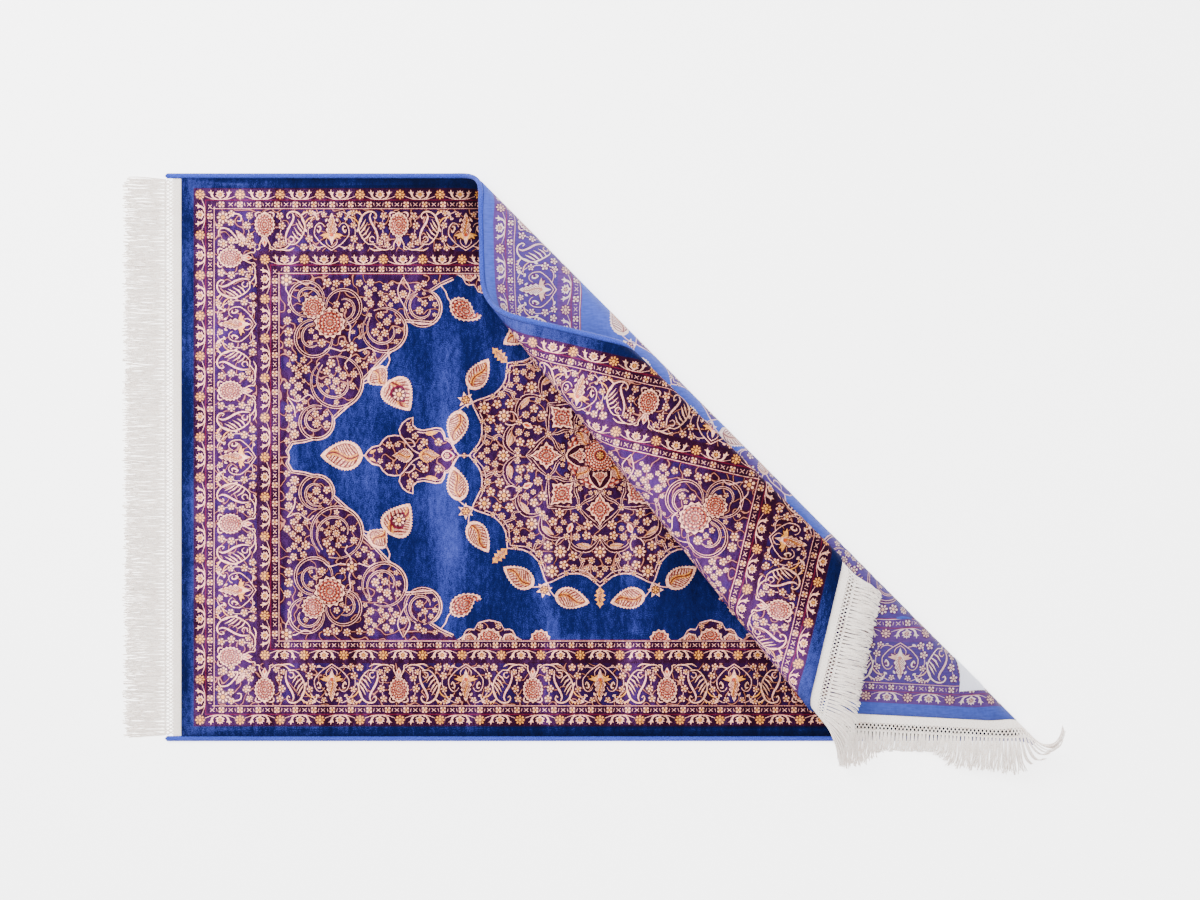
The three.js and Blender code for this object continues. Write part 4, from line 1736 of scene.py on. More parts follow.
def slab(u_span: Point, v_span: Point, heights: Point, cells: tuple[int, int]) -> Shell:
    """A flat strip of cloth, folded along with the rug.

    Args:
        u_span: where it starts and ends along the rug.
        v_span: where it starts and ends across it.
        heights: its underside and its top.
        cells: how many cells it is made of each way.

    Returns:
        The shell.
    """
    shell = Shell()
    (across, up), (low, high) = cells, heights
    u, v = np.meshgrid(np.linspace(*u_span, across + 1), np.linspace(*v_span, up + 1), indexing="ij")
    level = np.column_stack([u.ravel(), v.ravel()])
    cell = (np.arange(across)[:, None] * (up + 1) + np.arange(up)).ravel()
    squares = np.column_stack([cell, cell + up + 1, cell + up + 2, cell + 1])
    for height, side in ((high, 1), (low, -1)):
        points, normals = folded(raised(level, height), (0.0, 0.0, float(side)))
        shell.add(points, normals, level, squares[:, ::side])
    number = np.arange(len(level)).reshape(across + 1, up + 1)
    walls = ((number[:, 0], (0, -1)), (number[-1], (1, 0)), (number[::-1, -1], (0, 1)),
             (number[0, ::-1], (-1, 0)))
    for line, way in walls:
        places = np.vstack([raised(level[line], height) for height in (low, high)])
        points, normals = folded(places, (*way, 0.0))
        start = np.arange(len(line) - 1)
        wall = np.column_stack([start, start + 1, start + 1 + len(line), start + len(line)])
        shell.add(points, normals, places, wall)
    return shell


def add_tubes(shell: Shell, paths: np.ndarray, radii: np.ndarray | float, sides: int, aside: np.ndarray,
              flats: np.ndarray, tint: np.ndarray | None = None) -> None:
    """Adds round strands that follow paths, closed at both ends.

    Args:
        shell: what they are added to.
        paths: for each strand, the points that it passes.
        radii: the radius at each point, or one for all.
        sides: how many sides a strand has.
        aside: for each strand, a direction that isn't along it.
        flats: for each strand, its place in the flat rug, or one for each of its points.
        tint: a colour for each strand.
    """
    count, length = paths.shape[:2]
    ahead = np.gradient(paths, axis=1)
    ahead /= np.linalg.norm(ahead, axis=2)[..., None] + 1e-9
    first = aside[:, None] - np.sum(aside[:, None] * ahead, 2)[..., None] * ahead
    first /= np.linalg.norm(first, axis=2)[..., None] + 1e-9
    second = np.cross(ahead, first)
    angles = np.arange(sides) * 2 * math.pi / sides
    out = first[:, :, None] * np.cos(angles)[:, None] + second[:, :, None] * np.sin(angles)[:, None]
    radii = np.broadcast_to(np.asarray(radii, float), (count, length))
    points = paths[:, :, None] + out * radii[..., None, None]
    flats = np.broadcast_to(flats if flats.ndim == 3 else flats[:, None], (count, length, 2))
    places = np.repeat(flats, sides, axis=1)
    tint = np.ones((count, 4)) if tint is None else tint
    one = quads(length, sides)
    starts = np.arange(count)[:, None, None] * length * sides
    before = sum(len(p) for p in shell.points)
    shell.add(points.reshape(-1, 3), out.reshape(-1, 3), places.reshape(-1, 2), (starts + one).reshape(-1, 4),
              np.repeat(tint, len(one), axis=0))
    for end, order in ((0, -1), (length - 1, 1)):
        ring = before + starts[:, 0] + end * sides + np.arange(sides)[None, ::order]
        fan = np.stack([ring[:, [0, i, i + 1]] for i in range(1, sides - 1)], 1)
        shell.cover(fan.reshape(-1, 3), np.repeat(tint, sides - 2, axis=0))


@dataclass(frozen=True)
class Selvedge:
    """The corded edge along one side: its warps overcast with yarn in slanting wraps."""

    side: int
    width: float = 9.8
    under_pile: float = 0.8
    past_pile: float = 29.0
    wrap: float = 5.0
    ridge: float = 0.34
    sides: int = 12

    def made(self, name: str, shift: np.ndarray) -> bpy.types.Object:
        """Makes the piece.

        Args:
            name: its name.
            shift: where the flat rug's centre lies in the part's own frame.

        Returns:
            The new object.
        """
        end = HALF_LENGTH + self.past_pile
        lengths = np.arange(-end, end + 0.5, self.wrap / 4)
        angles = np.arange(self.sides) * 2 * math.pi / self.sides
        u, turn = (grid.ravel() for grid in np.meshgrid(lengths, angles, indexing="ij"))
        lift = self.ridge * np.abs(np.sin(math.pi * u / self.wrap + turn / 2))
        taper = np.clip((end - np.abs(u)) / 3, 0.35, 1)
        radius = (0.5 * THICKNESS - self.ridge + lift) * taper
        middle = self.side * (HALF_WIDTH + self.width / 2 - self.under_pile)
        v = middle + radius * np.cos(turn) * self.width / THICKNESS
        places = np.column_stack([u, v, radius * np.sin(turn)])
        points, normals = folded(places, np.column_stack([np.zeros(u.size), np.cos(turn), np.sin(turn)]))
        shell = Shell()
        shell.add(points, normals, places, quads(len(lengths), self.sides))
        fan = np.array([(0, i + 1, i) for i in range(1, self.sides - 1)])
        shell.cover(fan)
        shell.cover(fan[:, ::-1] + (len(lengths) - 1) * self.sides)
        return shell.made(name, shift)


@dataclass(frozen=True)
class Fringe:
    """One end's fringe: a woven band, a knotted net of warps and the loose yarns below it."""

    end: int
    count: int = 150
    band: float = 14.0
    heading: float = 30.0
    thickness: float = 2.6
    length: float = 75.0
    uneven: float = 3.0
    wave: float = 1.1
    lift: float = 2.0
    rooted: float = 1.5
    yarns: int = 8
    yarn_radius: float = 0.92

    @property
    def pitch(self) -> float:
        """How far apart two locks are."""
        return 2 * HALF_WIDTH / self.count

    def seats(self, u: float, v: np.ndarray) -> np.ndarray:
        """Places at one distance from the rug's middle, halfway up the band's thickness."""
        level = np.column_stack([np.full(len(v), self.end * u), v])
        return raised(level, (self.thickness - THICKNESS) / 2)

    def resting(self, places: np.ndarray, heights: np.ndarray) -> np.ndarray:
        """The height of what a strand can lie on: floor, flat part or folded-over layer.

        Args:
            places: points over the floor.
            heights: how high each strand comes from.

        Returns:
            A height for each.
        """
        outer, inner = BENDS[:2]
        turn = math.radians(outer.turn)
        level = places[:, :2]
        start = outer.offset - outer.half + outer.radius * math.sin(turn)
        past = (level @ outer.across - start) / math.cos(turn)
        flat = (outer.offset + outer.half + past)[:, None] * outer.across
        flat = flat + (level @ outer.along)[:, None] * outer.along
        layer = outer.radius * (1 - math.cos(turn)) + THICKNESS + np.maximum(past, 0) * math.sin(turn)
        edge = HALF_LENGTH + self.heading
        on_layer = (past > -outer.radius) & (flat @ inner.across < inner.offset - inner.half)
        on_layer &= (flat[:, 0] < edge) & (flat[:, 1] < HALF_WIDTH) & (heights > layer)
        on_flat = (np.abs(level) < (HALF_LENGTH, HALF_WIDTH + 8)).all(1)
        on_flat &= level @ outer.across < outer.offset - outer.half
        return np.where(on_layer, layer + self.lift, np.where(on_flat, THICKNESS + self.lift, 0))

    def routes(self) -> tuple[np.ndarray, np.ndarray]:
        """Where each lock runs from its knot.

        Returns:
            The points of each, and the way across it.
        """
        numbers = np.arange(self.count)
        v = 2 * HALF_WIDTH * (numbers + 0.5) / self.count - HALF_WIDTH
        seat = self.seats(HALF_LENGTH + self.heading, v)
        outward = np.tile((float(self.end), 0.0, 0.0), (self.count, 1))
        root, outward = folded(seat - outward * self.rooted, outward)
        _, sideways = folded(seat, (0.0, float(self.end), 0.0))
        tip, steps = outward, 3
        if self.end > 0:
            rows = np.array(HANGS)
            tip = np.column_stack([np.interp(v, rows[:, 0], rows[:, i]) for i in (1, 2, 3)])
            tip /= np.linalg.norm(tip, axis=1)[:, None]
            steps = 4
        whole = self.length + self.uneven * np.sin(2.4 * numbers)
        path = [root]
        for step in range(steps):
            share = (step + 0.5) / steps
            ahead = outward * (1 - share) + tip * share
            ahead /= np.linalg.norm(ahead, axis=1)[:, None]
            place = path[-1] + ahead * ((whole + self.rooted) / steps)[:, None]
            if step > 0:
                place = place + sideways * (self.wave * np.sin(1.7 * step + 0.9 * numbers))[:, None]
            lowest = self.resting(place, path[-1][:, 2]) + 1.1
            place[:, 2] = np.maximum(place[:, 2], lowest) if self.end > 0 else lowest
            path.append(place)
        return np.stack(path, 1), sideways

    def add_yarns(self, shell: Shell) -> None:
        """Adds the loose yarns, a handful to each lock.

        Args:
            shell: what they are added to.
        """
        path, sideways = self.routes()
        rng = np.random.default_rng(3 + self.end)
        finer = np.stack([smooth([tuple(p) for p in one], 3) for one in path])
        t = np.linspace(0, 1, finer.shape[1])
        upward = np.array([0, 0, 1.0])
        each = (self.count, 1)
        for yarn in range(self.yarns):
            place = yarn / (self.yarns - 1) - 0.5
            spread = rng.uniform(5.5, 9.5, self.count)[:, None] * place + rng.normal(0, 1.2, each)
            sway = 1.5 * np.sin(t * rng.uniform(4, 9, each) + rng.uniform(0, 6, each))
            aside = spread * t ** 0.7 + 2.0 * place + sway * t
            over = np.abs(rng.normal(0.2, 0.5, each)) * np.sin(t * 2.6)
            reach = rng.uniform(0.86, 1.0, each) * t
            line = np.stack([np.column_stack([np.interp(shares, t, axis) for axis in route.T])
                             for shares, route in zip(reach, finer)])
            line = line + sideways[:, None] * aside[..., None] + upward * over[..., None]
            line[..., 2] = np.maximum(line[..., 2], self.yarn_radius)
            shade = np.clip(rng.normal(1, 0.06, each), 0.85, 1.1)
            across = np.broadcast_to(path[:, :1, 1] + aside[:, -1:], aside.shape)
            flats = np.stack([np.tile(t * self.length, each), across], 2)
            add_tubes(shell, line, self.yarn_radius * (1 - 0.25 * t), 4, np.tile(upward + 0.01, each), flats,
                      np.column_stack([shade, shade, shade, np.ones(self.count)]))

    def add_net(self, shell: Shell) -> None:
        """Adds the warps, knotted together in staggered rows with holes between.

        Args:
            shell: what they are added to.
        """
        rows = np.linspace(HALF_LENGTH + self.band + 0.6, HALF_LENGTH + self.heading, 4)
        middles = [(np.arange(self.count) + 0.5 - 0.5 * (number % 2)) * self.pitch - HALF_WIDTH
                   for number in range(len(rows))]
        for v, u, after in zip(middles, rows, rows[1:]):
            for way in (-0.5, 0.5):
                goal = v + way * self.pitch
                kept = (np.abs(v) < HALF_WIDTH - 1.5) & (np.abs(goal) < HALF_WIDTH - 1.5)
                a, b = self.seats(u, v[kept]), self.seats(after, goal[kept])
                line = np.stack([folded(a + (b - a) * share)[0] for share in (0, 0.33, 0.67, 1)], 1)
                add_tubes(shell, line, np.array([0.9, 1.1, 1.1, 0.9]), 5, folded(a)[1], a[:, :2])
        for v, u in zip(middles[1:], rows[1:]):
            v = v[np.abs(v) < HALF_WIDTH - 2]
            line = np.stack([folded(self.seats(u + beside, v))[0] for beside in (-1.7, -0.9, 0, 0.9, 1.7)], 1)
            seat = self.seats(u, v)
            add_tubes(shell, line, np.array([0.5, 1.15, 1.3, 1.15, 0.5]), 6, folded(seat)[1], seat[:, :2])

    def made(self, name: str, shift: np.ndarray) -> bpy.types.Object:
        """Makes the piece.

        Args:
            name: its name.
            shift: where the flat rug's centre lies in the part's own frame.

        Returns:
            The new object.
        """
        near, far = HALF_LENGTH + GAP, HALF_LENGTH + self.band + 1.2
        span = (near, far) if self.end > 0 else (-far, -near)
        heights = (-THICKNESS / 2, self.thickness - THICKNESS / 2)
        shell = slab(span, (GAP - HALF_WIDTH, HALF_WIDTH - GAP), heights, (4, 300))
        self.add_net(shell)
        self.add_yarns(shell)
        return shell.made(name, shift)


@dataclass(frozen=True)
class Label:
    """The blank label sewn on the back, its edges turned under and stitched."""

    right: float = 699.0
    top: float = -341.0
    length: float = 60.0
    width: float = 50.0
    thickness: float = 0.6
    hem: float = 3.0
    stitch: float = 2.0
    stitch_pitch: float = 3.0

    def made(self, name: str, shift: np.ndarray) -> bpy.types.Object:
        """Makes the piece.

        Args:
            name: its name.
            shift: where the flat rug's centre lies in the part's own frame.

        Returns:
            The new object.
        """
        under = -THICKNESS / 2 - GAP
        u_span, v_span = (self.right - self.length, self.right), (self.top - self.width, self.top)
        shell = slab(u_span, v_span, (under - self.thickness, under), (30, 25))
        centre = np.array([sum(u_span) / 2, sum(v_span) / 2])
        half = np.array([self.length, self.width]) / 2 - self.hem
        corners = np.array([(-1, -1), (1, -1), (1, 1), (-1, 1)]) * half + centre
        for a, b in zip(corners, np.roll(corners, -1, axis=0)):
            count = int(np.linalg.norm(b - a) / self.stitch_pitch)
            starts = a + (b - a) * (np.arange(count) / count)[:, None]
            ahead = (b - a) / np.linalg.norm(b - a)
            line = [folded(raised(starts + ahead * self.stitch * share, under - self.thickness - drop))[0]
                    for share, drop in ((0, -0.1), (0.5, 0.22), (1, -0.1))]
            add_tubes(shell, np.stack(line, 1), 0.2, 4, folded(raised(starts, under))[1], starts)
        return shell.made(name, shift)


class Graph:
    """A material's nodes, added one at a time."""

    def __init__(self, name: str) -> None:
        """Starts a material with its shader and the places in the flat rug.

        Args:
            name: the material's name.
        """
        self.material = bpy.data.materials.new(name)
        self.material.use_nodes = True
        self.tree = self.material.node_tree
        self.shader = next(node for node in self.tree.nodes if node.type == "BSDF_PRINCIPLED")
        self.flat = self.add("UVMap", uv_map="flat")

    def add(self, kind: str, *values: object, **settings: object) -> bpy.types.NodeSocket:
        """Adds a node with its settings and links.

        Args:
            kind: its type, without the words that every type starts with.
            values: for each input that it uses, in order, a value, a socket or None.
            settings: the node's own options.

        Returns:
            The first output that it uses.
        """
        node = self.tree.nodes.new(f"ShaderNode{kind}")
        for key, value in settings.items():
            setattr(node, key, value)
        used = [socket for socket in node.inputs if socket.enabled]
        for socket, value in zip(used, values):
            if isinstance(value, bpy.types.NodeSocket):
                self.tree.links.new(value, socket)
            elif value is not None:
                socket.default_value = value
        return next(socket for socket in node.outputs if socket.enabled)

    def repeats(self, u: float, v: float) -> bpy.types.NodeSocket:
        """The place in the flat rug, counted in repeats of a size in millimetres each way."""
        return self.add("VectorMath", self.flat, (1 / (u * MM), 1 / (v * MM), 1), operation="MULTIPLY")

    def grains(self, u: float, v: float, detail: float = 1.0) -> bpy.types.NodeSocket:
        """Uneven grains of a size in millimetres along the rug and across it."""
        return self.add("TexNoise", self.repeats(u, v), 1.0, detail, noise_dimensions="2D")

    def shaded(self, colour: bpy.types.NodeSocket, lit: bpy.types.NodeSocket) -> bpy.types.NodeSocket:
        """A colour made lighter where a value is above 1 and darker below it."""
        grey = self.add("CombineColor", lit, lit, lit)
        return self.add("Mix", 1.0, colour, grey, data_type="RGBA", blend_type="MULTIPLY")

    def finished(self, colour: bpy.types.NodeSocket, relief: tuple | None = None,
                 **values: object) -> bpy.types.Material:
        """Joins the colour and the relief to the shader and sets its plain values.

        Args:
            colour: the surface's colour.
            relief: the height that raises it, what a height of 1 is in millimetres, and how strong it is.
            values: the shader's own values, by name.

        Returns:
            The material.
        """
        self.tree.links.new(colour, self.shader.inputs["Base Color"])
        if relief:
            height, depth, strength = relief
            bump = self.add("Bump", strength, depth * MM)
            self.tree.links.new(height, bump.node.inputs["Height"])
            self.tree.links.new(bump, self.shader.inputs["Normal"])
        for key, value in values.items():
            self.shader.inputs[key.replace("_", " ")].default_value = value
        return self.material


@dataclass(frozen=True)
class Figures:
    """What the yarns draw within the motifs: petals, veins and rows of scales."""

    face: Face

    def drawn(self, graph: Graph) -> bpy.types.NodeSocket:
        """Adds the figures to a material.

        Args:
            graph: the material's nodes.

        Returns:
            The colour of the dyes, with the figures on those that have them.
        """
        add = graph.add
        dyes = (Dye.SHADE, Dye.BROWN, Dye.COPPER, Dye.GOLD, Dye.CREAM)
        dark, brown, copper, gold, cream = (linear(dye.value[self.face.value]) for dye in dyes)
        dyed = add("Attribute", attribute_name="dye")
        place = add("Attribute", attribute_name="figure").node.outputs["Vector"]
        x, y, fill = add("SeparateXYZ", place).node.outputs
        reach = add("VectorMath", add("CombineXYZ", x, y), operation="LENGTH")
        angle = add("Math", y, x, operation="ARCTAN2")
        flower = self.flower(graph, (dyed, dark, gold), reach, angle, fill)
        leaf = self.leaf(graph, (cream, brown, gold), x, y)
        fan = self.fan(graph, (dark, cream, copper), reach, angle, fill)
        for low, high, figure in ((0.4, 0.6, flower), (-0.4, -0.6, leaf), (-1.4, -1.6, fan)):
            dyed = add("Mix", add("MapRange", fill, low, high, 0, 1), dyed, figure, data_type="RGBA")
        return dyed

    def flower(self, graph: Graph, colours: tuple, reach: bpy.types.NodeSocket, angle: bpy.types.NodeSocket,
               count: bpy.types.NodeSocket) -> bpy.types.NodeSocket:
        """Round petals with dark between them, about a golden heart.

        Args:
            graph: the material's nodes.
            colours: the petals', the dark's and the heart's.
            reach: how far out a place is, up to 1 at the motif's edge.
            angle: which way it is from the middle.
            count: how many petals there are.

        Returns:
            The colour.
        """
        add = graph.add
        turned = add("Math", angle, add("Math", count, 0.5, operation="MULTIPLY"), operation="MULTIPLY")
        lobe = add("Math", add("Math", turned, operation="COSINE"), operation="ABSOLUTE")
        edge = add("Math", add("MapRange", lobe, 0.1, 0.95, 0.4, 0.84), reach, operation="SUBTRACT")
        petal = add("MapRange", edge, -0.03, 0.03, 0, 1)
        gap = add("MapRange", add("Math", lobe, reach, operation="MULTIPLY"), 0.26, 0.36, 0, 1)
        for share in (gap, add("MapRange", reach, 0.38, 0.46, 0, 1)):
            petal = add("Math", petal, share, operation="MULTIPLY")
        petals, dark, heart = colours
        flower = add("Mix", petal, dark, petals, data_type="RGBA")
        return add("Mix", add("MapRange", reach, 0.3, 0.26, 0, 1), flower, heart, data_type="RGBA")

    def leaf(self, graph: Graph, colours: tuple, ahead: bpy.types.NodeSocket,
             across: bpy.types.NodeSocket) -> bpy.types.NodeSocket:
        """Short veins on both sides of a curled midrib.

        Args:
            graph: the material's nodes.
            colours: the leaf's, the veins' and what edges the midrib.
            ahead: how far a place is from the stem, up to 1 at the tip.
            across: how far it is to the side.

        Returns:
            The colour.
        """
        add = graph.add
        curl = add("Math", add("Math", ahead, 6.0, operation="MULTIPLY"), operation="SINE")
        curl = add("Math", curl, 0.28, operation="MULTIPLY")
        aside = add("Math", add("Math", across, curl, operation="SUBTRACT"), operation="ABSOLUTE")
        back = add("Math", aside, -2.2, operation="MULTIPLY")
        slant = add("Math", add("Math", ahead, 9.0, back, operation="MULTIPLY_ADD"), operation="FRACT")
        off = add("Math", add("Math", slant, 0.5, operation="SUBTRACT"), operation="ABSOLUTE")
        green, vein, edging = colours
        leaf = green
        steps = ((off, 0.22, 0.32, vein), (aside, 0.28, 0.22, edging), (aside, 0.12, 0.06, vein))
        for value, low, high, over in steps:
            leaf = add("Mix", add("MapRange", value, low, high, 0, 1), leaf, over, data_type="RGBA")
        return leaf

    def fan(self, graph: Graph, colours: tuple, reach: bpy.types.NodeSocket, angle: bpy.types.NodeSocket,
            fill: bpy.types.NodeSocket) -> bpy.types.NodeSocket:
        """Rows of scales, each row set between the scales of the next.

        Args:
            graph: the material's nodes.
            colours: the dark's, the scales' and that of their hearts.
            reach: how far out a place is, up to 1 at the motif's edge.
            angle: which way it is from the middle.
            fill: how many rows there are, below zero.

        Returns:
            The colour.
        """
        add = graph.add
        rows = add("Math", fill, -1.0, operation="MULTIPLY")
        row = add("Math", reach, rows, operation="MULTIPLY")
        depth = add("Math", row, operation="FRACT")
        number = add("Math", row, operation="FLOOR")
        around = add("Math", angle, add("Math", rows, 1.75, operation="MULTIPLY"), operation="MULTIPLY")
        turned = add("Math", number, math.pi / 2, around, operation="MULTIPLY_ADD")
        scale = add("Math", add("Math", turned, operation="COSINE"), operation="ABSOLUTE")
        edge = add("Math", depth, add("MapRange", scale, 0.2, 0.9, 0.1, 0.78), operation="SUBTRACT")
        shares = [add("MapRange", edge, 0.08, 0.0, 0, 1), add("MapRange", scale, 0.2, 0.36, 0, 1)]
        dark, scales, heart = colours
        fan = add("Mix", add("Math", *shares, operation="MULTIPLY"), dark, scales, data_type="RGBA")
        return add("Mix", add("MapRange", depth, 0.36, 0.26, 0, 1), fan, heart, data_type="RGBA")


@dataclass(frozen=True)
class CutPile:
    """Viscose pile, knotted, sheared short and brushed one way.

    The fine fibres are matt where one looks into them and glossy along their sides, so the rug is deep in colour. Its
    pale streaks and bands, where packing has laid it over, are painted sheen, and the dark by the first fold is
    painted shade.
    The tufts are under a millimetre apart, too fine to show in the render, so they are
    drawn 1.7 mm apart. Every other size is as it shows.
    """

    tuft: Point = (1.7, 1.7)
    clump: Point = (6, 12)
    streak: Point = (18, 110)
    patch: Point = (100, 160)
    blue_patch: Point = (50, 50)
    vine: Point = (26, 26)
    scribble: Point = (5, 5)
    speck: Point = (3.4, 3.4)
    relief: float = 1.2

    def made(self) -> bpy.types.Material:
        """Makes the material.

        Returns:
            The material, which reads the dyes, the figures and the painted sheen and shade.
        """
        graph = Graph("cut viscose pile")
        add = graph.add
        tuft, clump = graph.grains(*self.tuft), graph.grains(*self.clump, 2)
        uneven = ((graph.grains(*self.streak, 3), 0.16), (graph.grains(*self.patch, 3), 0.22),
                  (clump, 0.16), (tuft, 0.3))
        # Painted sheen and shade, read from the points and made uneven by streaks, patches, clumps and tufts
        painted_light = add("Attribute", attribute_name="painted_sheen_and_shade").node.outputs["Fac"]
        for grains, share in uneven:
            painted_light = add("Math", painted_light, add("MapRange", grains, 0.28, 0.72, -share, share), operation="ADD")
        kind = add("Attribute", attribute_name="dye").node.outputs["Alpha"]
        yarn = self.worked(graph, kind)
        # The dyes darkened by the painted shade and lightened by the painted sheen
        colour = graph.shaded(yarn, add("MapRange", painted_light, -0.7, 0.9, 0.3, 1.8))
        # Painted sheen: blue-violet over the field, mauve over plum grounds and pale pink over motifs, mixed in where
        # the painted sheen is strong
        painted_sheen_hue = linear("#6a74e6")
        for low, high, hue in ((0.02, 0.1, "#7c4e9c"), (0.3, 0.5, "#e8cce8")):
            painted_sheen_hue = add("Mix", add("MapRange", kind, low, high, 0, 1), painted_sheen_hue, linear(hue), data_type="RGBA")
        gleam = [add("MapRange", painted_light, 0.1, 1.2, 0.0, 0.42), add("MapRange", kind, 0.25, 0.5, 0.8, 0.5)]
        colour = add("Mix", add("Math", *gleam, operation="MULTIPLY"), colour, painted_sheen_hue, data_type="RGBA")
        height = add("Math", tuft, clump, operation="ADD")
        return graph.finished(colour, (height, self.relief, 0.6), Roughness=0.95, Specular_IOR_Level=0.06,
                              Sheen_Weight=0.05, Sheen_Roughness=0.4, Sheen_Tint=linear("#6a78ff"))

    def worked(self, graph: Graph, kind: bpy.types.NodeSocket) -> bpy.types.NodeSocket:
        """The dyes, with all that the yarns draw on the grounds and on the motifs.

        Args:
            graph: the material's nodes.
            kind: what the yarns do, as the dyes give it.

        Returns:
            The colour.
        """
        add = graph.add
        spans = [add("MapRange", kind, low, high, 0, 1) for low, high in ((0.12, 0.2), (0.4, 0.3))]
        ground = add("Math", *spans, operation="MULTIPLY")
        vine, line = (
            add("Math", add("Math", grains, 0.5, operation="SUBTRACT"), operation="ABSOLUTE")
            for grains in (graph.grains(*self.vine, 0.5), graph.grains(*self.scribble))
        )
        layers = (
            # The ground turns from plum to blue in places, with fine vines over it
            (ground, (graph.grains(*self.blue_patch), 0.52, 0.62, 0, 0.4), "#16104c"),
            (ground, (vine, 0.085, 0.05, 0, 1), "#240210"),
            (ground, (vine, 0.02, 0.008, 0, 0.6), "#d08468"),
            # Yarns of two colours run through the motifs as a scribble and as specks
            (add("MapRange", kind, 0.5, 1.0, 0, 0.7), (line, 0.1, 0.05, 0, 1), "#5c140c"),
            (add("MapRange", kind, 0.3, 0.5, 0, 0.4),
             (graph.grains(*self.speck, 0.5), 0.46, 0.56, 0, 1), "#6a2c38"),
        )
        yarn = Figures(Face.PILE).drawn(graph)
        for where, pattern, hue in layers:
            share = add("Math", where, add("MapRange", *pattern), operation="MULTIPLY")
            yarn = add("Mix", share, yarn, linear(hue), data_type="RGBA")
        return yarn


@dataclass(frozen=True)
class WovenBack:
    """Cotton warps and wefts, woven tight, with the knots showing between them.

    The knots' colours are muted there, in small ribs both ways, with painted shade that darkens it towards -V across
    the rug. The threads are about a millimetre apart, too fine to show in the render, so the ribs are drawn 2.3 mm
    apart.
    """

    rib: float = 2.3
    grain: Point = (3, 12)
    relief: float = 0.8
    painted_shade_span: Point = (-420, 250)

    def made(self) -> bpy.types.Material:
        """Makes the material.

        Returns:
            The material, which reads the dyes and the figures.
        """
        graph = Graph("woven cotton back")
        add = graph.add
        # At a scale of 0.32 a wave has about one band in each unit
        ribs = [
            add("TexWave", graph.repeats(*size), 0.32, distortion, bands_direction=way).node.outputs["Fac"]
            for size, distortion, way in (((self.rib, 1000), 0.4, "X"), ((1000, self.rib), 0.6, "Y"))
        ]
        weave = add("Math", *ribs, operation="MULTIPLY")
        grain = add("MapRange", graph.grains(*self.grain, 2), 0.3, 0.7, -0.12, 0.12)
        lit = add("Math", add("MapRange", weave, 0, 1, 0.72, 1.15), grain, operation="ADD")
        # Painted shade, darker towards -V across the rug
        across = add("SeparateXYZ", graph.flat).node.outputs["Y"]
        low, high = (place * MM for place in self.painted_shade_span)
        lit = add("Math", lit, add("MapRange", across, low, high, 0.68, 1.0), operation="MULTIPLY")
        colour = graph.shaded(Figures(Face.BACK).drawn(graph), lit)
        return graph.finished(colour, (weave, self.relief, 0.8), Roughness=0.85, Specular_IOR_Level=0.15,
                              Sheen_Weight=0.06, Sheen_Roughness=0.5)


@dataclass(frozen=True)
class TwistedYarn:
    """Spun and plied yarn, darker between its plies and a little worn in patches.

    The twist makes it matt, with fine slanting shadows. The plies' spacing is drawn
    as coarse as it needs to show.
    """

    name: str
    colour: str
    deep: str
    ply: float
    wear: float = 30.0
    relief: float = 0.6

    def made(self) -> bpy.types.Material:
        """Makes the material.

        Returns:
            The material, which reads how light each strand is.
        """
        graph = Graph(self.name)
        add = graph.add
        ply = graph.grains(self.ply, 2.2 * self.ply, 2)
        deep = linear(self.deep)
        tone = add("Mix", add("MapRange", ply, 0.3, 0.65, 0, 1), deep, linear(self.colour), data_type="RGBA")
        strand = add("Attribute", attribute_name="dye")
        tone = add("Mix", 1.0, tone, strand, data_type="RGBA", blend_type="MULTIPLY")
        worn = add("MapRange", graph.grains(self.wear, self.wear, 2), 0.4, 0.8, 0, 0.25)
        tone = add("Mix", worn, tone, deep, data_type="RGBA")
        return graph.finished(tone, (ply, self.relief, 0.8), Roughness=0.85, Specular_IOR_Level=0.2,
                              Sheen_Weight=0.1, Sheen_Roughness=0.5)


@dataclass(frozen=True)
class MattFloor:
    """Painted board of a studio, matt, which gives a soft white with faint clouds."""

    cloud: float = 600.0
    glow: float = 2.6

    def made(self) -> bpy.types.Material:
        """Makes the material.

        Returns:
            The material, which glows enough to look white.
        """
        graph = Graph("matt studio floor")
        tone = graph.add("Mix", graph.grains(self.cloud, self.cloud, 2), linear("#f6f6f7"), linear("#fbfbfb"),
                         data_type="RGBA")
        return graph.finished(tone, Roughness=0.9, Emission_Color=linear("#ffffff"),
                              Emission_Strength=self.glow)


@dataclass(frozen=True)
class Lamp:
    """A soft white lamp that looks at the rug, in metres and watts."""

    name: str
    place: tuple[float, float, float]
    size: float
    power: float

    def lit(self) -> None:
        """Hangs it."""
        light = bpy.data.lights.new(self.name, "AREA")
        light.size = self.size
        light.energy = self.power
        lamp = bpy.data.objects.new(self.name, light)
        lamp.location = self.place
        lamp.rotation_euler = (-Vector(self.place)).to_track_quat("-Z", "Y").to_euler()
        bpy.context.collection.objects.link(lamp)


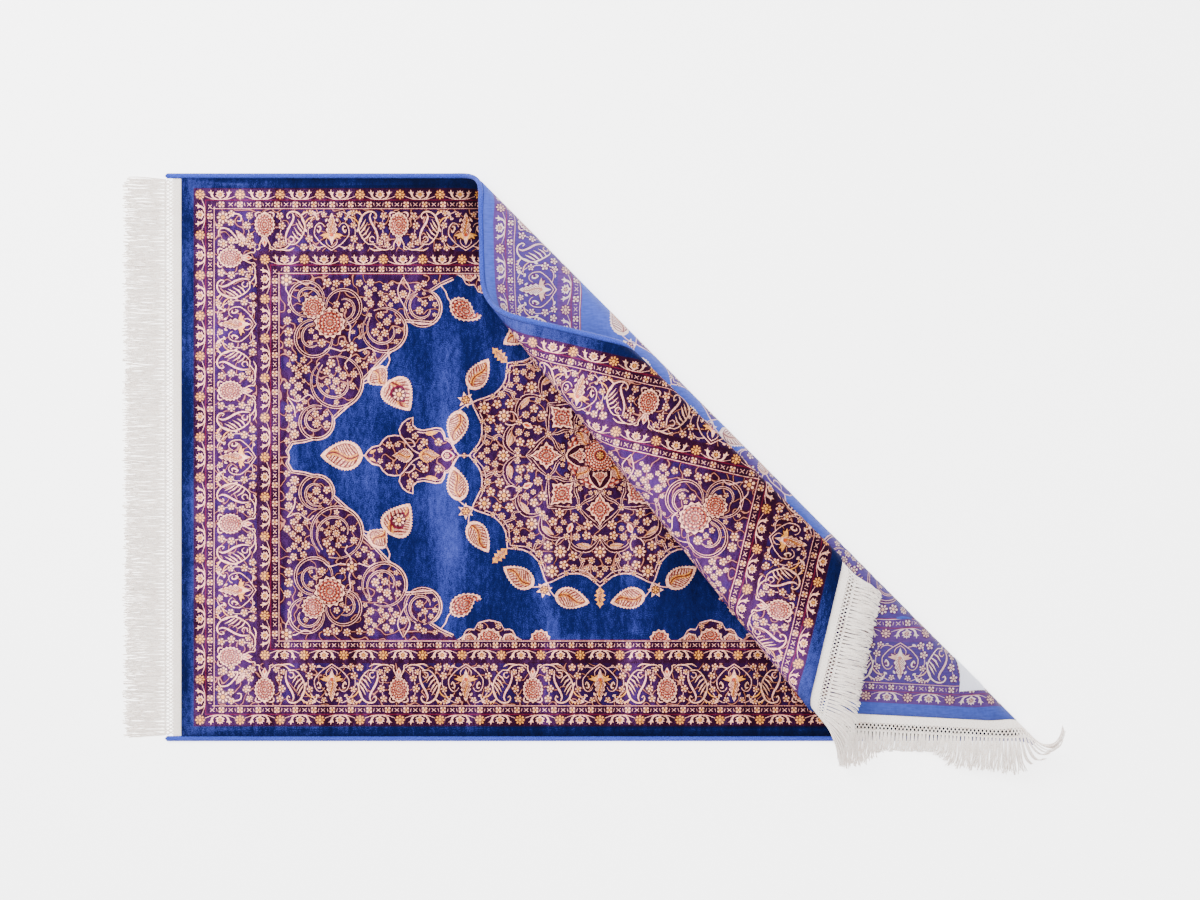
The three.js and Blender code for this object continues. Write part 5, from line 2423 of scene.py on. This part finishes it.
@dataclass(frozen=True)
class Studio:
    """The floor, the lamps, the white room and the camera straight over the rug, in metres."""

    floor: float = 12.0
    room: float = 1.25
    lens: float = 43.8
    height: float = 2.62
    beside: float = 0.0129
    lamps: tuple[Lamp, ...] = (
        Lamp("key", (-1.6, 1.5, 2.6), 1.6, 185),
        Lamp("fill", (2.2, -1.0, 2.4), 2.4, 60),
        Lamp("over", (0.2, 0.4, 3.4), 3.0, 70),
    )

    def hang_camera(self, shift: np.ndarray) -> None:
        """Hangs the camera.

        Args:
            shift: where the flat rug's centre lies in the part's own frame, in millimetres.
        """
        lens = bpy.data.cameras.new("camera")
        lens.sensor_width = 36
        lens.lens = self.lens
        camera = bpy.data.objects.new("camera", lens)
        camera.location = (shift[0] * MM, shift[1] * MM + self.beside, self.height)
        bpy.context.collection.objects.link(camera)
        bpy.context.scene.camera = camera

    def lay_floor(self) -> None:
        """Lays the floor and lights the room."""
        mesh = bpy.data.meshes.new("floor")
        built = bmesh.new()
        bmesh.ops.create_grid(built, x_segments=8, y_segments=8, size=self.floor)
        built.to_mesh(mesh)
        built.free()
        mesh.uv_layers.new(name="flat")
        floor = bpy.data.objects.new("floor", mesh)
        bpy.context.collection.objects.link(floor)
        floor.data.materials.append(MattFloor().made())
        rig.stage(floor)
        world = bpy.data.worlds.new("room")
        bpy.context.scene.world = world
        world.use_nodes = True
        background = world.node_tree.nodes["Background"]
        background.inputs["Color"].default_value = linear("#ffffff")
        background.inputs["Strength"].default_value = self.room
        for lamp in self.lamps:
            lamp.lit()


def take(piece: bpy.types.Object, node: str, slot: str, material: bpy.types.Material) -> None:
    """Puts a piece in a node's place, in its slot's finish, and reports it.

    Args:
        piece: the piece.
        node: the node that it replaces, or nothing.
        slot: the name of its material's slot.
        material: its finish.
    """
    piece.data.materials.append(material)
    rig.ride(piece, "root")
    if node:
        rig.replaces(piece, node)
    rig.slot(piece, slot)
    log.info("%s: %d faces in %s", piece.name, len(piece.data.polygons), material.name)


def plain(bounds: Iterator) -> list:
    """Corners as plain lists."""
    return [[float(value) for value in corner] for corner in bounds]


def main() -> None:
    """Makes every piece in its place, lays the floor and hangs the camera."""
    logging.basicConfig(level=logging.INFO, format="%(message)s")
    before = plain(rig.bounds())
    low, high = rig.box("carpet")
    shift = np.array([low[0] / MM + HALF_LENGTH, high[1] / MM - HALF_WIDTH + GAP, 0])
    pile, back = Cloth(Cartoon().draw()).made(shift)
    take(pile, "carpet", "pile", CutPile().made())
    take(back, "", "pile", WovenBack().made())
    blue = TwistedYarn("twisted blue yarn", "#3448b4", "#182470", 1.2).made()
    cream = TwistedYarn("twisted cotton warp", "#fff8f2", "#decdc2", 1.1).made()
    edges = []
    for name, side in (("top", 1), ("bottom", -1)):
        edges.append(Selvedge(side).made(f"cord_{name}", shift))
        take(edges[-1], f"selvedge_{name}", "selvedge", blue)
    for name, end in (("left", -1), ("right", 1)):
        edges.append(Fringe(end).made(f"warps_{name}", shift))
        take(edges[-1], f"fringe_{name}", "fringe", cream)
    label = Label().made("blank_label", shift)
    take(label, "back_label", "label", TwistedYarn("woven cotton tape", "#dcdce8", "#b4b4c6", 0.8).made())
    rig.sheet(pile, flat=(2 * HALF_LENGTH * MM, 2 * (HALF_WIDTH - GAP) * MM), held="folded",
             with_pieces=[back, *edges, label])
    studio = Studio()
    studio.hang_camera(shift)
    studio.lay_floor()
    with open(SIZE_FILE, "w", encoding="utf-8") as file:
        json.dump({"frame": before, "scene": plain(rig.bounds())}, file)
    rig.finish()


if __name__ == "__main__":
    main()
